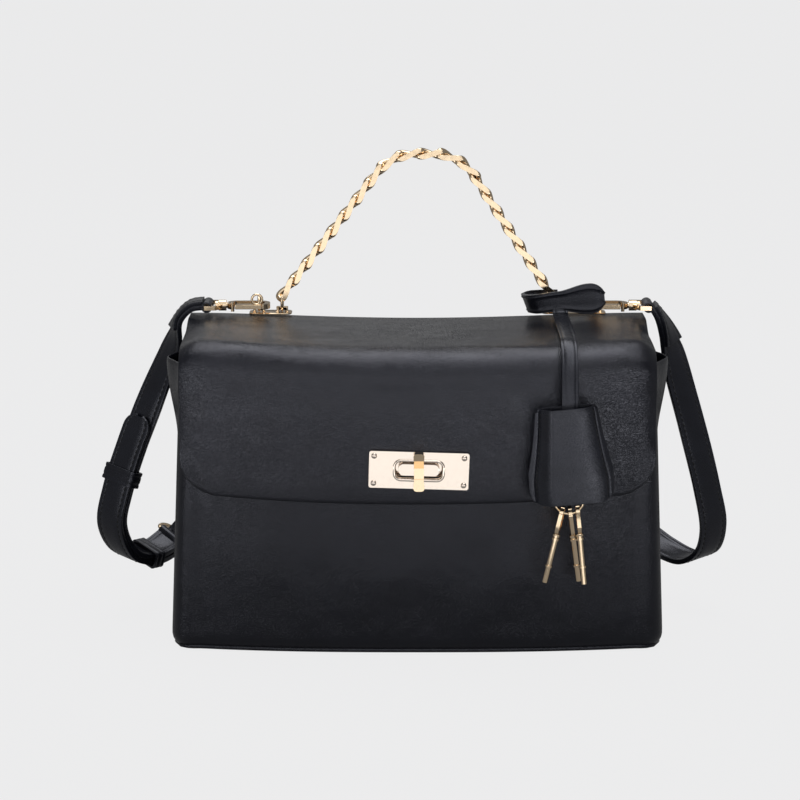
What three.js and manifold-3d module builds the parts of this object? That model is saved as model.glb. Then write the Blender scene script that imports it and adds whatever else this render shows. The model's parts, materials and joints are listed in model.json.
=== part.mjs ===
// A soft leather handbag with a fold-over flap, a turn lock, a curb chain handle,
// a clip-on shoulder strap and a key fob. Millimetres, +Z up, +X to the bag's right
// as it is looked at, +Y to the back. The origin is the middle of the base underside.
import * as THREE from "three";
import { mergeVertices } from "three/addons/utils/BufferGeometryUtils.js";
import Module from "manifold-3d";

const wasm = await Module();
wasm.setup();

// Body
const HALF_WIDTH = 135;
const WIDTH_TAPER = 7;
const HALF_DEPTH = 46;
const CORNER_R = 10;
const BASE_EDGE_R = 9;
const FRONT_BULGE = 10;
const BACK_BULGE = 4;
const FRONT_TOP = 157.5;
const GUSSET_TOP = 158.5;
const BACK_TOP = 159.5;
const PANEL_T = 2;
const SEAM_GAP = 1.4;
const WING_OUT = 9;
const PLEAT_IN = 5;

// Roof and flap
const HINGE_Y = 19.5;
const ROOF_Z = 173.5;
const CREST_DROP = 5;
const TOP_SAG = 3;
const CREST_R = 14;
const FLAP_HALF_WIDTH = 127.5;
const FLAP_T = 2.6;
const FLAP_STAND = 6;
const FLAP_EDGE_Z = 86.5;
const FLAP_EDGE_LIFT = 4;
const FLAP_CORNER_R = 19;
const FLAP_LINING_T = 0.8;
const FLAP_LINING_GAP = 0.5;

// Turn lock
const LOCK_X = 0.5;
const LOCK_Z = 106.5;
const LOCK_TILT = THREE.MathUtils.degToRad(1.7);
const LOCK_PLATE = [53, 20, 2.2];
const LOCK_SLOT = [24.8, 9.2];
const LOCK_BOSS = [21.5, 6.4];
const KNOB = [5.9, 20.3, 6.6];

// Chain handle
const CHAIN_Y = 38.5;
const CHAIN_END_X = 76;
const CHAIN_END_R = 3.2;
const CHAIN_EYE_Z = 178.2;
const CHAIN_AXIS_Z = 180;
const CHAIN_PEAK = [[-14, 263], [24, 263]];
const CHAIN_BEND_R = 30;
const LINK_COUNT = 20;
const LINK_A = 7.45;
const LINK_B = 3.5;
const LINK_WIRE_R = 1.25;
const LINK_TWIST = THREE.MathUtils.degToRad(-52);
const LINK_ROUND = 2.8;
const LINK_FLAT = 1.9;

// Rings, clips and shoulder strap
const HOOK_RING_X = 89;
const HOOK_RING_R = 3.8;
const HOOK_RING_Z = 178.8;
const RING_WIRE_R = 0.9;
const HOOK_Z = 178.65;
const HOOK_Y = 32.25;
const HOOK_T = 3;
const CLIP_SHIFT = { left: 0, right: 12 };
const STRAP_WIDTH = 17;
const STRAP_T = 2.8;
const SWIVEL_BAR_X = 117.6;

// Key fob
const FOB_X = 80;
const FOB_WIDTH = 9;
const FOB_T = 1.8;
const FOB_Y = -67;
const FOB_FOLD_Y = -53;
const FOB_FOLD_GAP = 1;
const BELL_TOP = [33, 141.5];
const BELL_BOTTOM = [45, 90.5];
const BELL_MIDDLE_Z = 115.5;
const BELL_T = 11;
const BELL_TILT = THREE.MathUtils.degToRad(5);
const KEY_RING_R = 8;
const KEY_RING_WIRE_R = 0.85;
const KEY_RING_Z = 91.5;

const leather = new THREE.MeshStandardMaterial({ name: "black_leather", color: 0x17181c, roughness: 0.45 });
const edgePaint = new THREE.MeshStandardMaterial({ name: "strap_leather", color: 0x1b1c21, roughness: 0.4 });
const cloth = new THREE.MeshStandardMaterial({ name: "lining_cloth", color: 0x2a2a2d, roughness: 0.9 });
const board = new THREE.MeshStandardMaterial({ name: "stiff_board", color: 0x4a463f, roughness: 0.95 });
const gold = new THREE.MeshStandardMaterial({
  name: "pale_gold",
  color: 0xd9bd94,
  metalness: 1,
  roughness: 0.22,
});
const steel = new THREE.MeshStandardMaterial({ name: "zinc", color: 0xa8a8a6, metalness: 1, roughness: 0.4 });

const vec = (x, y, z) => new THREE.Vector3(x, y, z);
const smooth = THREE.MathUtils.smoothstep;
const mix = THREE.MathUtils.lerp;

// Solids

function signedVolume(geometry) {
  const p = geometry.getAttribute("position");
  const index = geometry.index.array;
  const corner = [vec(0, 0, 0), vec(0, 0, 0), vec(0, 0, 0)];
  let volume = 0;
  for (let i = 0; i < index.length; i += 3) {
    corner.forEach((c, k) => c.fromBufferAttribute(p, index[i + k]));
    volume += corner[0].dot(corner[1].clone().cross(corner[2])) / 6;
  }
  return volume;
}

function facingOut(position, index) {
  const geometry = new THREE.BufferGeometry();
  geometry.setAttribute("position", new THREE.Float32BufferAttribute(position, 3));
  geometry.setIndex(index);
  if (signedVolume(geometry) < 0) {
    for (let i = 0; i < index.length; i += 3) {
      [index[i + 1], index[i + 2]] = [index[i + 2], index[i + 1]];
    }
    geometry.setIndex(index);
  }
  return geometry;
}

// Rings of points joined side by side; a closed run meets itself, an open run is capped.
function skin(rings, closed = false) {
  const sides = rings[0].length;
  const count = rings.length;
  const position = rings.flat().flatMap((p) => [p.x, p.y, p.z]);
  const index = [];
  for (let i = 0; i < (closed ? count : count - 1); i += 1) {
    for (let j = 0; j < sides; j += 1) {
      const a = i * sides + j;
      const b = i * sides + ((j + 1) % sides);
      const c = ((i + 1) % count) * sides + ((j + 1) % sides);
      const d = ((i + 1) % count) * sides + j;
      index.push(a, b, c, a, c, d);
    }
  }
  if (!closed) {
    const last = (count - 1) * sides;
    for (let j = 1; j < sides - 1; j += 1) {
      index.push(0, j + 1, j, last, last + j, last + j + 1);
    }
  }
  return facingOut(position, index);
}

// A grid of points on the outer face, thickened along its own normals.
function sheet(grid, thickness, offset = 0) {
  const rows = grid.length;
  const cols = grid[0].length;
  const at = (i, j) => grid[Math.min(Math.max(i, 0), rows - 1)][Math.min(Math.max(j, 0), cols - 1)];
  const outer = [];
  const inner = [];
  for (let i = 0; i < rows; i += 1) {
    for (let j = 0; j < cols; j += 1) {
      const alongRow = at(i, j + 1).clone().sub(at(i, j - 1));
      const alongCol = at(i + 1, j).clone().sub(at(i - 1, j));
      const inward = alongRow.cross(alongCol).normalize();
      outer.push(at(i, j).clone().addScaledVector(inward, offset));
      inner.push(at(i, j).clone().addScaledVector(inward, offset + thickness));
    }
  }
  const position = [...outer, ...inner].flatMap((p) => [p.x, p.y, p.z]);
  const far = rows * cols;
  const index = [];
  const quad = (a, b, c, d) => index.push(a, b, c, a, c, d);
  for (let i = 0; i < rows - 1; i += 1) {
    for (let j = 0; j < cols - 1; j += 1) {
      const a = i * cols + j;
      quad(a, a + cols, a + cols + 1, a + 1);
      quad(far + a, far + a + 1, far + a + cols + 1, far + a + cols);
    }
  }
  const rim = [];
  for (let j = 0; j < cols - 1; j += 1) {
    rim.push(j);
  }
  for (let i = 0; i < rows - 1; i += 1) {
    rim.push(i * cols + cols - 1);
  }
  for (let j = cols - 1; j > 0; j -= 1) {
    rim.push((rows - 1) * cols + j);
  }
  for (let i = rows - 1; i > 0; i -= 1) {
    rim.push(i * cols);
  }
  rim.forEach((a, k) => {
    const b = rim[(k + 1) % rim.length];
    quad(a, b, far + b, far + a);
  });
  return facingOut(position, index);
}

function toSolid(geometry) {
  const bare = new THREE.BufferGeometry();
  bare.setAttribute("position", geometry.getAttribute("position").clone());
  if (geometry.index) {
    bare.setIndex(geometry.index.clone());
  }
  const welded = mergeVertices(bare, 1e-4);
  return new wasm.Manifold(new wasm.Mesh({
    numProp: 3,
    vertProperties: Float32Array.from(welded.getAttribute("position").array),
    triVerts: Uint32Array.from(welded.index.array),
  }));
}

function toGeometry(solid) {
  const mesh = solid.getMesh();
  const geometry = new THREE.BufferGeometry();
  geometry.setAttribute("position", new THREE.BufferAttribute(Float32Array.from(mesh.vertProperties), 3));
  geometry.setIndex(new THREE.BufferAttribute(Uint32Array.from(mesh.triVerts), 1));
  return geometry;
}

const join = (first, ...rest) => toGeometry(rest.reduce((s, g) => s.add(toSolid(g)), toSolid(first)));
const cut = (first, ...rest) => toGeometry(rest.reduce((s, g) => s.subtract(toSolid(g)), toSolid(first)));

const block = (x, y, z, at = [0, 0, 0]) => new THREE.BoxGeometry(x, y, z).translate(...at);

function rod(from, to, radius, sides = 12, endRadius = radius) {
  const span = to.clone().sub(from);
  const turn = new THREE.Quaternion().setFromUnitVectors(vec(0, 1, 0), span.clone().normalize());
  const middle = from.clone().add(to).multiplyScalar(0.5);
  return new THREE.CylinderGeometry(endRadius, radius, span.length(), sides)
    .applyQuaternion(turn)
    .translate(middle.x, middle.y, middle.z);
}

function roundedBox(width, height, radius, hole = null) {
  const outline = (path, w, h, r) => {
    path.moveTo(-w / 2 + r, -h / 2);
    path.lineTo(w / 2 - r, -h / 2);
    path.absarc(w / 2 - r, -h / 2 + r, r, -Math.PI / 2, 0, false);
    path.lineTo(w / 2, h / 2 - r);
    path.absarc(w / 2 - r, h / 2 - r, r, 0, Math.PI / 2, false);
    path.lineTo(-w / 2 + r, h / 2);
    path.absarc(-w / 2 + r, h / 2 - r, r, Math.PI / 2, Math.PI, false);
    path.lineTo(-w / 2, -h / 2 + r);
    path.absarc(-w / 2 + r, -h / 2 + r, r, Math.PI, Math.PI * 1.5, false);
    return path;
  };
  const shape = outline(new THREE.Shape(), width, height, radius);
  if (hole) {
    shape.holes.push(outline(new THREE.Path(), ...hole));
  }
  return shape;
}

const plate = (shape, depth, steps = 4) =>
  new THREE.ExtrudeGeometry(shape, { depth, bevelEnabled: false, curveSegments: steps });

const fromPoints = (points) => new THREE.Shape(points.map(([x, y]) => new THREE.Vector2(x, y)));

// A round wire along a closed or open line of points.
function wire(points, radius, sides = 8, closed = true) {
  const count = points.length;
  const middle = points.reduce((s, p) => s.add(p), vec(0, 0, 0)).multiplyScalar(1 / count);
  const rings = points.map((p, i) => {
    const before = points[closed ? (i + count - 1) % count : Math.max(i - 1, 0)];
    const after = points[closed ? (i + 1) % count : Math.min(i + 1, count - 1)];
    const along = after.clone().sub(before).normalize();
    const out = p.clone().sub(middle);
    out.addScaledVector(along, -out.dot(along)).normalize();
    const across = along.clone().cross(out);
    return Array.from({ length: sides }, (_, k) => {
      const angle = (2 * Math.PI * k) / sides;
      return p.clone()
        .addScaledVector(out, radius * Math.cos(angle))
        .addScaledVector(across, radius * Math.sin(angle));
    });
  });
  return skin(rings, closed);
}

// A flat strip through stations that each give a centre, a width direction and an outer face.
function strip(stations, width, thickness) {
  return skin(stations.map(({ at, across, out, w = width }) => {
    const a = across.clone().multiplyScalar(w / 2);
    const t = out.clone().multiplyScalar(thickness / 2);
    return [
      at.clone().add(a).add(t),
      at.clone().sub(a).add(t),
      at.clone().sub(a).sub(t),
      at.clone().add(a).sub(t),
    ];
  }));
}

// Stations along a smooth route of [point, width direction] pairs.
function route(pairs, steps, outerSide = 1, from = 0, to = 1) {
  const centre = new THREE.CatmullRomCurve3(pairs.map(([p]) => vec(...p)), false, "centripetal");
  const width = new THREE.CatmullRomCurve3(pairs.map(([, w]) => vec(...w)), false, "centripetal");
  return Array.from({ length: steps + 1 }, (_, i) => {
    const t = mix(from, to, i / steps);
    const along = centre.getTangent(t);
    const across = width.getPoint(t).addScaledVector(along, -width.getPoint(t).dot(along)).normalize();
    const out = along.clone().cross(across).multiplyScalar(outerSide);
    return { at: centre.getPoint(t), along, across, out };
  });
}

const bag = new THREE.Group();
bag.name = "handbag";

function add(name, geometry, material, place = null) {
  const mesh = new THREE.Mesh(geometry, material);
  mesh.name = name;
  if (place) {
    mesh.applyMatrix4(place);
  }
  bag.add(mesh);
  return mesh;
}

// Body shell

function edgeIn(z) {
  if (z >= BASE_EDGE_R) {
    return 0;
  }
  return BASE_EDGE_R - Math.sqrt(BASE_EDGE_R ** 2 - (BASE_EDGE_R - z) ** 2);
}

const halfWidth = (z) => HALF_WIDTH - WIDTH_TAPER * (z / FRONT_TOP) - edgeIn(z);
const halfDepth = (z) => HALF_DEPTH - edgeIn(z);

function bulge(x, z, amount) {
  const reach = HALF_WIDTH - WIDTH_TAPER - CORNER_R;
  const across = 1 - Math.min(Math.abs(x) / reach, 1) ** 2.6;
  const rise = 0.7 + 0.3 * smooth(z, 0, 50);
  const fade = 1 - 0.55 * smooth(z, 131, 175);
  return amount * across * rise * fade;
}

// One face of the body at a height, from corner to corner; side is -1 for the front, 1 for the back.
function faceLine(z, side, amount) {
  const hw = halfWidth(z);
  const hd = halfDepth(z);
  const points = [];
  for (let k = 0; k <= 3; k += 1) {
    const a = (k / 3) * (Math.PI / 2);
    const x = hw - CORNER_R + CORNER_R * Math.cos(a);
    points.push(vec(-x, side * (hd - CORNER_R + CORNER_R * Math.sin(a)), z));
  }
  for (const s of [-0.86, -0.66, -0.4, -0.15, 0.15, 0.4, 0.66, 0.86]) {
    const x = s * (hw - CORNER_R);
    points.push(vec(x, side * (hd + bulge(x, z, amount)), z));
  }
  for (let k = 3; k >= 0; k -= 1) {
    const a = (k / 3) * (Math.PI / 2);
    const x = hw - CORNER_R + CORNER_R * Math.cos(a);
    points.push(vec(x, side * (hd - CORNER_R + CORNER_R * Math.sin(a)), z));
  }
  return points;
}

const WALL_HEIGHTS = [1, 2.4, 5, 9, 18, 34, 54, 95, 131, 146];
const frontGrid = [...WALL_HEIGHTS, FRONT_TOP].map((z) => faceLine(z, -1, FRONT_BULGE));
const frontSkinY = -(HALF_DEPTH + FRONT_BULGE);

function topZ(x, y) {
  const forward = Math.max(HINGE_Y - y, 0) / 75;
  const spread = (1 - (x / FLAP_HALF_WIDTH) ** 2) ** 2;
  return ROOF_Z - CREST_DROP * forward - TOP_SAG * spread;
}

// The back panel rises, turns over the top edge and runs forward as the roof strip.
function backGrid() {
  const heights = [...WALL_HEIGHTS, BACK_TOP];
  const rows = heights.map((z) => faceLine(z, 1, BACK_BULGE));
  const rim = rows[rows.length - 1];
  const turnR = 9;
  for (const angle of [22.5, 45, 67.5, 90]) {
    const a = THREE.MathUtils.degToRad(angle);
    rows.push(rim.map((p) => {
      const x = p.x * (FLAP_HALF_WIDTH / (HALF_WIDTH - WIDTH_TAPER));
      const top = topZ(x, HINGE_Y);
      const back = HALF_DEPTH + 1;
      const y = back - turnR + turnR * Math.cos(a);
      return vec(mix(p.x, x, a), mix(p.y, y, Math.min(1, a)), mix(p.z, top, Math.sin(a) ** 1.4));
    }));
  }
  for (const y of [30, HINGE_Y + 0.6]) {
    rows.push(rim.map((p) => {
      const x = p.x * (FLAP_HALF_WIDTH / (HALF_WIDTH - WIDTH_TAPER));
      return vec(x, y, topZ(x, HINGE_Y));
    }));
  }
  return rows;
}

function sideGrid(side) {
  const span = [-1, -0.8, -0.55, -0.33, -0.1, 0.12, 0.35, 0.55, 0.75, 1];
  return [...WALL_HEIGHTS, GUSSET_TOP].map((z) => {
    const hd = halfDepth(z) - CORNER_R - SEAM_GAP;
    return span.map((s) => {
      const y = s * hd;
      const wing = Math.cos(THREE.MathUtils.clamp((y + 12) / 26, -1, 1) * (Math.PI / 2)) ** 2;
      const pleat = Math.cos(THREE.MathUtils.clamp((y - 24) / 12, -1, 1) * (Math.PI / 2)) ** 2;
      const high = smooth(z, 103, GUSSET_TOP);
      return vec(side * (halfWidth(z) + high * (WING_OUT * wing - PLEAT_IN * pleat)), y, z);
    });
  });
}

const mirrored = (grid) => grid.map((row) => [...row].reverse());

function baseOutline(inset) {
  const z = 1;
  const front = faceLine(z, -1, FRONT_BULGE);
  const back = [...faceLine(z, 1, BACK_BULGE)].reverse();
  return fromPoints([...front, ...back].map((p) => [
    p.x * (1 - inset / halfWidth(z)),
    p.y - Math.sign(p.y) * inset,
  ]));
}

const stemLine = (y0, y1, r, dx = 0, dz = 0, sides = 12) =>
  rod(vec(LOCK_X + dx, y0, LOCK_Z + dz), vec(LOCK_X + dx, y1, LOCK_Z + dz), r, sides);

const lockPosts = [-13, 13];
const panelHoles = [
  stemLine(-60, -50, 2.5),
  ...lockPosts.map((dx) => stemLine(-60, -50, 1.3, dx)),
];

add("front_panel", cut(sheet(mirrored(frontGrid), PANEL_T), ...panelHoles), leather);
add("back_panel", sheet(backGrid(), PANEL_T), leather);
add("gusset_left", sheet(sideGrid(-1), 1.8), leather);
add("gusset_right", sheet(mirrored(sideGrid(1)), 1.8), leather);
add("base_panel", plate(baseOutline(1.9), 2.4), leather);
add("base_board", plate(roundedBox(236, 74, 6), 2).translate(0, 0, 2.8), board);

const LINING = { width: 236, depth: 82, low: 5.3, high: 156.5, wall: 1 };
const liningCup = plate(roundedBox(LINING.width, LINING.depth, 8), LINING.high - LINING.low);
const liningRoom = plate(
  roundedBox(LINING.width - 2 * LINING.wall, LINING.depth - 2 * LINING.wall, 7),
  LINING.high,
).translate(0, 0, LINING.wall);
add("lining", cut(liningCup, liningRoom).translate(0, -1, LINING.low), cloth);

// Flap

function flapEdge(x, inset) {
  const wide = FLAP_HALF_WIDTH - inset;
  const s = Math.abs(x) / wide;
  const straight = FLAP_EDGE_Z + inset + FLAP_EDGE_LIFT * s * s;
  const into = Math.abs(x) - (wide - FLAP_CORNER_R);
  if (into <= 0) {
    return straight;
  }
  return straight + FLAP_CORNER_R - Math.sqrt(Math.max(FLAP_CORNER_R ** 2 - into ** 2, 0));
}

const frontOf = (x, z) => -(HALF_DEPTH + bulge(x, z, FRONT_BULGE) + FLAP_STAND);

function flapLine(x, inset) {
  const wall = frontOf(x, FRONT_TOP - 2);
  const line = [];
  const startY = HINGE_Y - 0.4 - inset;
  const bendY = wall + CREST_R;
  for (const t of [0, 0.12, 0.4, 0.7, 1]) {
    const y = mix(startY, bendY, t);
    line.push(vec(x, y, topZ(x, y)));
  }
  const bendZ = topZ(x, bendY) - CREST_R;
  for (const angle of [22.5, 45, 67.5]) {
    const a = THREE.MathUtils.degToRad(angle);
    line.push(vec(x, bendY - CREST_R * Math.sin(a), bendZ + CREST_R * Math.cos(a)));
  }
  const low = flapEdge(x, inset);
  for (const t of [0, 0.2, 0.45, 0.7, 0.88, 1]) {
    const z = mix(bendZ, low, t);
    line.push(vec(x, frontOf(x, z), z));
  }
  return line;
}

const FLAP_COLUMNS = [-1, -0.992, -0.97, -0.935, -0.89, -0.85, -0.66, -0.42, -0.2, 0];
const flapColumns = [...FLAP_COLUMNS, ...FLAP_COLUMNS.slice(0, -1).map((s) => -s).reverse()];
const flapGrid = (inset) => flapColumns.map((s) => flapLine(s * (FLAP_HALF_WIDTH - inset), inset));

const flapFrontY = frontSkinY - FLAP_STAND;
const lockTurn = new THREE.Matrix4().makeTranslation(LOCK_X, 0, LOCK_Z)
  .multiply(new THREE.Matrix4().makeRotationY(LOCK_TILT));

// A flat outline drawn in the lock's own plane, reaching from one depth to another.
function lockPiece(shape, back, front, steps = 4, tilted = true) {
  const solid = plate(shape, back - front, steps).rotateX(Math.PI / 2).translate(0, back, 0);
  return tilted ? solid.applyMatrix4(lockTurn) : solid.translate(LOCK_X, 0, LOCK_Z);
}

const rivetAt = [[-1, -1], [1, -1], [1, 1], [-1, 1]]
  .map(([sx, sz]) => [sx * (LOCK_PLATE[0] / 2 - 2.6), sz * (LOCK_PLATE[1] / 2 - 2.6)]);
const rivet = (r, back, front, sides = 10) => rivetAt.map(([dx, dz]) =>
  rod(vec(dx, back, dz), vec(dx, front, dz), r, sides).applyMatrix4(lockTurn));

const innerY = flapFrontY + FLAP_T;
const slotTool = lockPiece(roundedBox(LOCK_SLOT[0] + 1.2, LOCK_SLOT[1] + 1.2, 3), -50, -70);
const pocketTool = lockPiece(roundedBox(LOCK_PLATE[0] - 1, LOCK_PLATE[1] - 1, 1), innerY + 2, innerY - 1.4);
const flapSheet = sheet(mirrored(flapGrid(0)), FLAP_T);
add("flap_leather", cut(flapSheet, slotTool, pocketTool, ...rivet(1.3, -50, -70)), leather);
const flapLiningSheet = sheet(mirrored(flapGrid(3)), FLAP_LINING_T, FLAP_T + FLAP_LINING_GAP);
add("flap_lining", cut(flapLiningSheet, slotTool), cloth);

const plateBack = flapFrontY - 0.5;
const plateFront = plateBack - LOCK_PLATE[2];
const plateShape = roundedBox(LOCK_PLATE[0], LOCK_PLATE[1], 1.2, [...LOCK_SLOT, 3]);
add("lock_plate", cut(lockPiece(plateShape, plateBack, plateFront), ...rivet(1.25, -50, -80)), gold);

const backingHole = [LOCK_SLOT[0] + 1.2, LOCK_SLOT[1] + 1.2, 3];
const backingShape = roundedBox(LOCK_PLATE[0] - 2, LOCK_PLATE[1] - 2, 1, backingHole);
const backingBack = innerY - 0.2;
const backingFront = innerY - 1.2;
add("lock_plate_backing", join(
  lockPiece(backingShape, backingBack, backingFront),
  ...rivet(1, backingFront + 0.2, plateFront - 0.1),
  ...rivet(1.3, plateFront - 0.1, plateFront - 0.6, 12),
), gold);

// Lock base on the front panel, with the boss that fills the slot
const flangeBack = frontSkinY - 0.3;
const flangeFront = flangeBack - 1.2;
const bossFront = plateFront + 0.7;
add("lock_base", cut(
  join(
    lockPiece(roundedBox(34, 15, 2), flangeBack, flangeFront),
    lockPiece(roundedBox(...LOCK_BOSS, 2.6), flangeBack, bossFront),
    ...lockPosts.map((dx) => stemLine(flangeFront + 0.2, frontSkinY + PANEL_T + 1.8, 1, dx, 0, 10)),
  ),
  stemLine(-40, -90, 2.4),
), gold);

const washerFront = frontSkinY + PANEL_T + 0.3;
add("lock_washer", cut(
  lockPiece(roundedBox(34, 12, 2), washerFront + 1.2, washerFront, 4, false),
  stemLine(-40, -90, 2.4),
  ...lockPosts.map((dx) => stemLine(-40, -60, 1.3, dx)),
), steel);

// The turn bar, a touch waisted, on a stem held behind the washer
function knobShape() {
  const [w, h] = KNOB;
  const points = [];
  for (const [sx, sz] of [[1, 1], [-1, 1], [-1, -1], [1, -1]]) {
    const end = [[w / 2, h / 2 - 1.4], [w / 2 - 0.5, h / 2 - 0.4], [w / 2 - 1.5, h / 2]];
    const run = [[w / 2 - 0.35, h / 4], ...end];
    const ordered = sx * sz > 0 ? run : [...run].reverse();
    points.push(...ordered.map(([x, z]) => [sx * x, sz * z]));
  }
  return fromPoints(points);
}
const knobBack = plateFront - 0.3;
const knobFront = knobBack - KNOB[2];
const crownTool = [1, -1].map((s) =>
  block(10, 6, 14).rotateX(s * 0.32).translate(LOCK_X, knobFront - 1.6, LOCK_Z + s * 9.6));
add("turn_knob", join(
  cut(lockPiece(knobShape(), knobBack, knobFront, 4, false), ...crownTool),
  stemLine(knobBack - 1, washerFront + 1.6, 2.1),
  stemLine(washerFront + 1.5, washerFront + 2.7, 3.4),
), gold);

// Fixings on the roof

const roofAt = (x) => topZ(x, HINGE_Y);

const PAD = { ends: 11, depth: 12, top: 174 };
const EYE = { width: 6.6, depth: 2.2, top: 177, tunnel: 3.6, bridge: 0.8 };

// A pad on the roof with one eye for the chain and one for the ring of the clip.
function ringBase(side, ringX) {
  const low = roofAt(ringX) + 0.3;
  const span = ringX - CHAIN_END_X + PAD.ends;
  const pad = plate(roundedBox(span, PAD.depth, 3), PAD.top - low)
    .translate(side * (CHAIN_END_X + ringX) / 2, CHAIN_Y, low);
  const rise = EYE.top - PAD.top;
  const eyes = [CHAIN_END_X, ringX].map((x) =>
    block(EYE.width, EYE.depth, rise + 0.4, [side * x, CHAIN_Y, PAD.top + rise / 2 - 0.2]));
  const tunnels = [CHAIN_END_X, ringX].map((x) =>
    block(EYE.tunnel, 8, rise - EYE.bridge, [side * x, CHAIN_Y, PAD.top + (rise - EYE.bridge) / 2]));
  return cut(join(pad, ...eyes), ...tunnels);
}

const roundRing = (centre, radius, wireR, steps, sides, axis = "x") => wire(
  Array.from({ length: steps }, (_, i) => {
    const a = (2 * Math.PI * i) / steps;
    const [u, v] = [radius * Math.cos(a), radius * Math.sin(a)];
    return axis === "x" ? centre.clone().add(vec(0, u, v)) : centre.clone().add(vec(u, 0, v));
  }), wireR, sides);

// A long link standing in its base eye; its round top carries the first chain link.
function chainEnd(side) {
  const points = [];
  for (const [low, high, z] of [[0, 10, CHAIN_AXIS_Z], [10, 20, CHAIN_EYE_Z]]) {
    for (let i = low; i <= high; i += 1) {
      const a = (Math.PI * i) / 10;
      const [y, up] = [CHAIN_END_R * Math.cos(a), CHAIN_END_R * Math.sin(a)];
      points.push(vec(side * CHAIN_END_X, CHAIN_Y + y, z + up));
    }
  }
  return wire(points, RING_WIRE_R, 8);
}

for (const [word, side] of [["left", -1], ["right", 1]]) {
  const ringX = HOOK_RING_X + CLIP_SHIFT[word];
  add(`ring_base_${word}`, ringBase(side, ringX), gold);
  const centre = vec(side * ringX, CHAIN_Y, HOOK_RING_Z);
  add(`ring_${word}`, roundRing(centre, HOOK_RING_R, RING_WIRE_R, 20, 8), gold);
  add(`chain_end_${word}`, chainEnd(side), gold);
}

// Chain handle

// A flat-filed link: a blunt oval whose two ends are turned by their own angles about its length.
function linkGeometry(startTurn = -LINK_TWIST, endTurn = LINK_TWIST) {
  const steps = 16;
  const sides = 6;
  const blunt = (value) => Math.sign(value) * Math.abs(value) ** (2 / LINK_ROUND);
  const centre = (phi) => {
    const x = blunt(Math.cos(phi));
    const psi = mix(startTurn, endTurn, (x + 1) / 2);
    const r = LINK_B * blunt(Math.sin(phi));
    return vec(LINK_A * x, r * Math.cos(psi), r * Math.sin(psi));
  };
  const rings = Array.from({ length: steps }, (_, i) => {
    const phi = (2 * Math.PI * (i + 0.5)) / steps;
    const p = centre(phi);
    const along = centre(phi + 0.1).sub(centre(phi - 0.1)).normalize();
    const out = p.clone().addScaledVector(along, -p.dot(along)).normalize();
    const across = along.clone().cross(out);
    return Array.from({ length: sides }, (_, k) => {
      const a = (2 * Math.PI * (k + 0.5)) / sides;
      const q = p.clone()
        .addScaledVector(out, LINK_WIRE_R * Math.cos(a))
        .addScaledVector(across, LINK_WIRE_R * Math.sin(a));
      q.z = THREE.MathUtils.clamp(q.z, -LINK_FLAT, LINK_FLAT);
      return q;
    });
  });
  return skin(rings, true);
}

// The line of the handle seen from the front, as [x, z], with its two rounded bends.
function handleLine() {
  const start = vec(-CHAIN_END_X, 0, CHAIN_AXIS_Z + CHAIN_END_R);
  const finish = vec(CHAIN_END_X, 0, CHAIN_AXIS_Z + CHAIN_END_R);
  const peaks = CHAIN_PEAK.map(([x, z]) => vec(x, 0, z));
  const corners = [start, ...peaks, finish];
  const curve = new THREE.CurvePath();
  let from = start;
  for (let i = 1; i < 3; i += 1) {
    const into = corners[i].clone().sub(corners[i - 1]).normalize();
    const away = corners[i + 1].clone().sub(corners[i]).normalize();
    const setback = CHAIN_BEND_R * Math.tan(into.angleTo(away) / 2);
    const a = corners[i].clone().addScaledVector(into, -setback);
    const b = corners[i].clone().addScaledVector(away, setback);
    curve.add(new THREE.LineCurve3(from, a));
    curve.add(new THREE.QuadraticBezierCurve3(a, corners[i], b));
    from = b;
  }
  curve.add(new THREE.LineCurve3(from, finish));
  return curve;
}

const handle = handleLine();
const firstStep = LINK_A - LINK_WIRE_R - RING_WIRE_R - 0.15;
const handleLength = handle.getLength();
const linkPitch = (handleLength - 2 * firstStep) / (LINK_COUNT - 1);
const link = linkGeometry();
const firstLink = linkGeometry(0, LINK_TWIST);
const lastLink = linkGeometry(-LINK_TWIST, 0);
for (let i = 0; i < LINK_COUNT; i += 1) {
  const middle = (firstStep + i * linkPitch) / handleLength;
  const reach = linkPitch / 2 / handleLength;
  const p = handle.getPointAt(middle);
  const before = handle.getPointAt(Math.max(middle - reach, 0));
  const after = handle.getPointAt(Math.min(middle + reach, 1));
  const along = after.sub(before).normalize();
  const toFront = vec(0, -1, 0);
  const across = toFront.clone().cross(along);
  const place = new THREE.Matrix4().makeBasis(along, across, toFront).setPosition(p.x, CHAIN_Y, p.z);
  const shape = i === 0 ? firstLink : i === LINK_COUNT - 1 ? lastLink : link;
  add(`chain_link_${String(i + 1).padStart(2, "0")}`, shape.clone().applyMatrix4(place), gold);
}

// Clips: one is drawn at the right, and moved further right or mirrored to the left.

const HOOK = { tip: 82.5, base: 106.5, half: 7, rail: 2.5, end: 3, pinX: 103.2, pinY: HOOK_Y - 5.6 };

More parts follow.
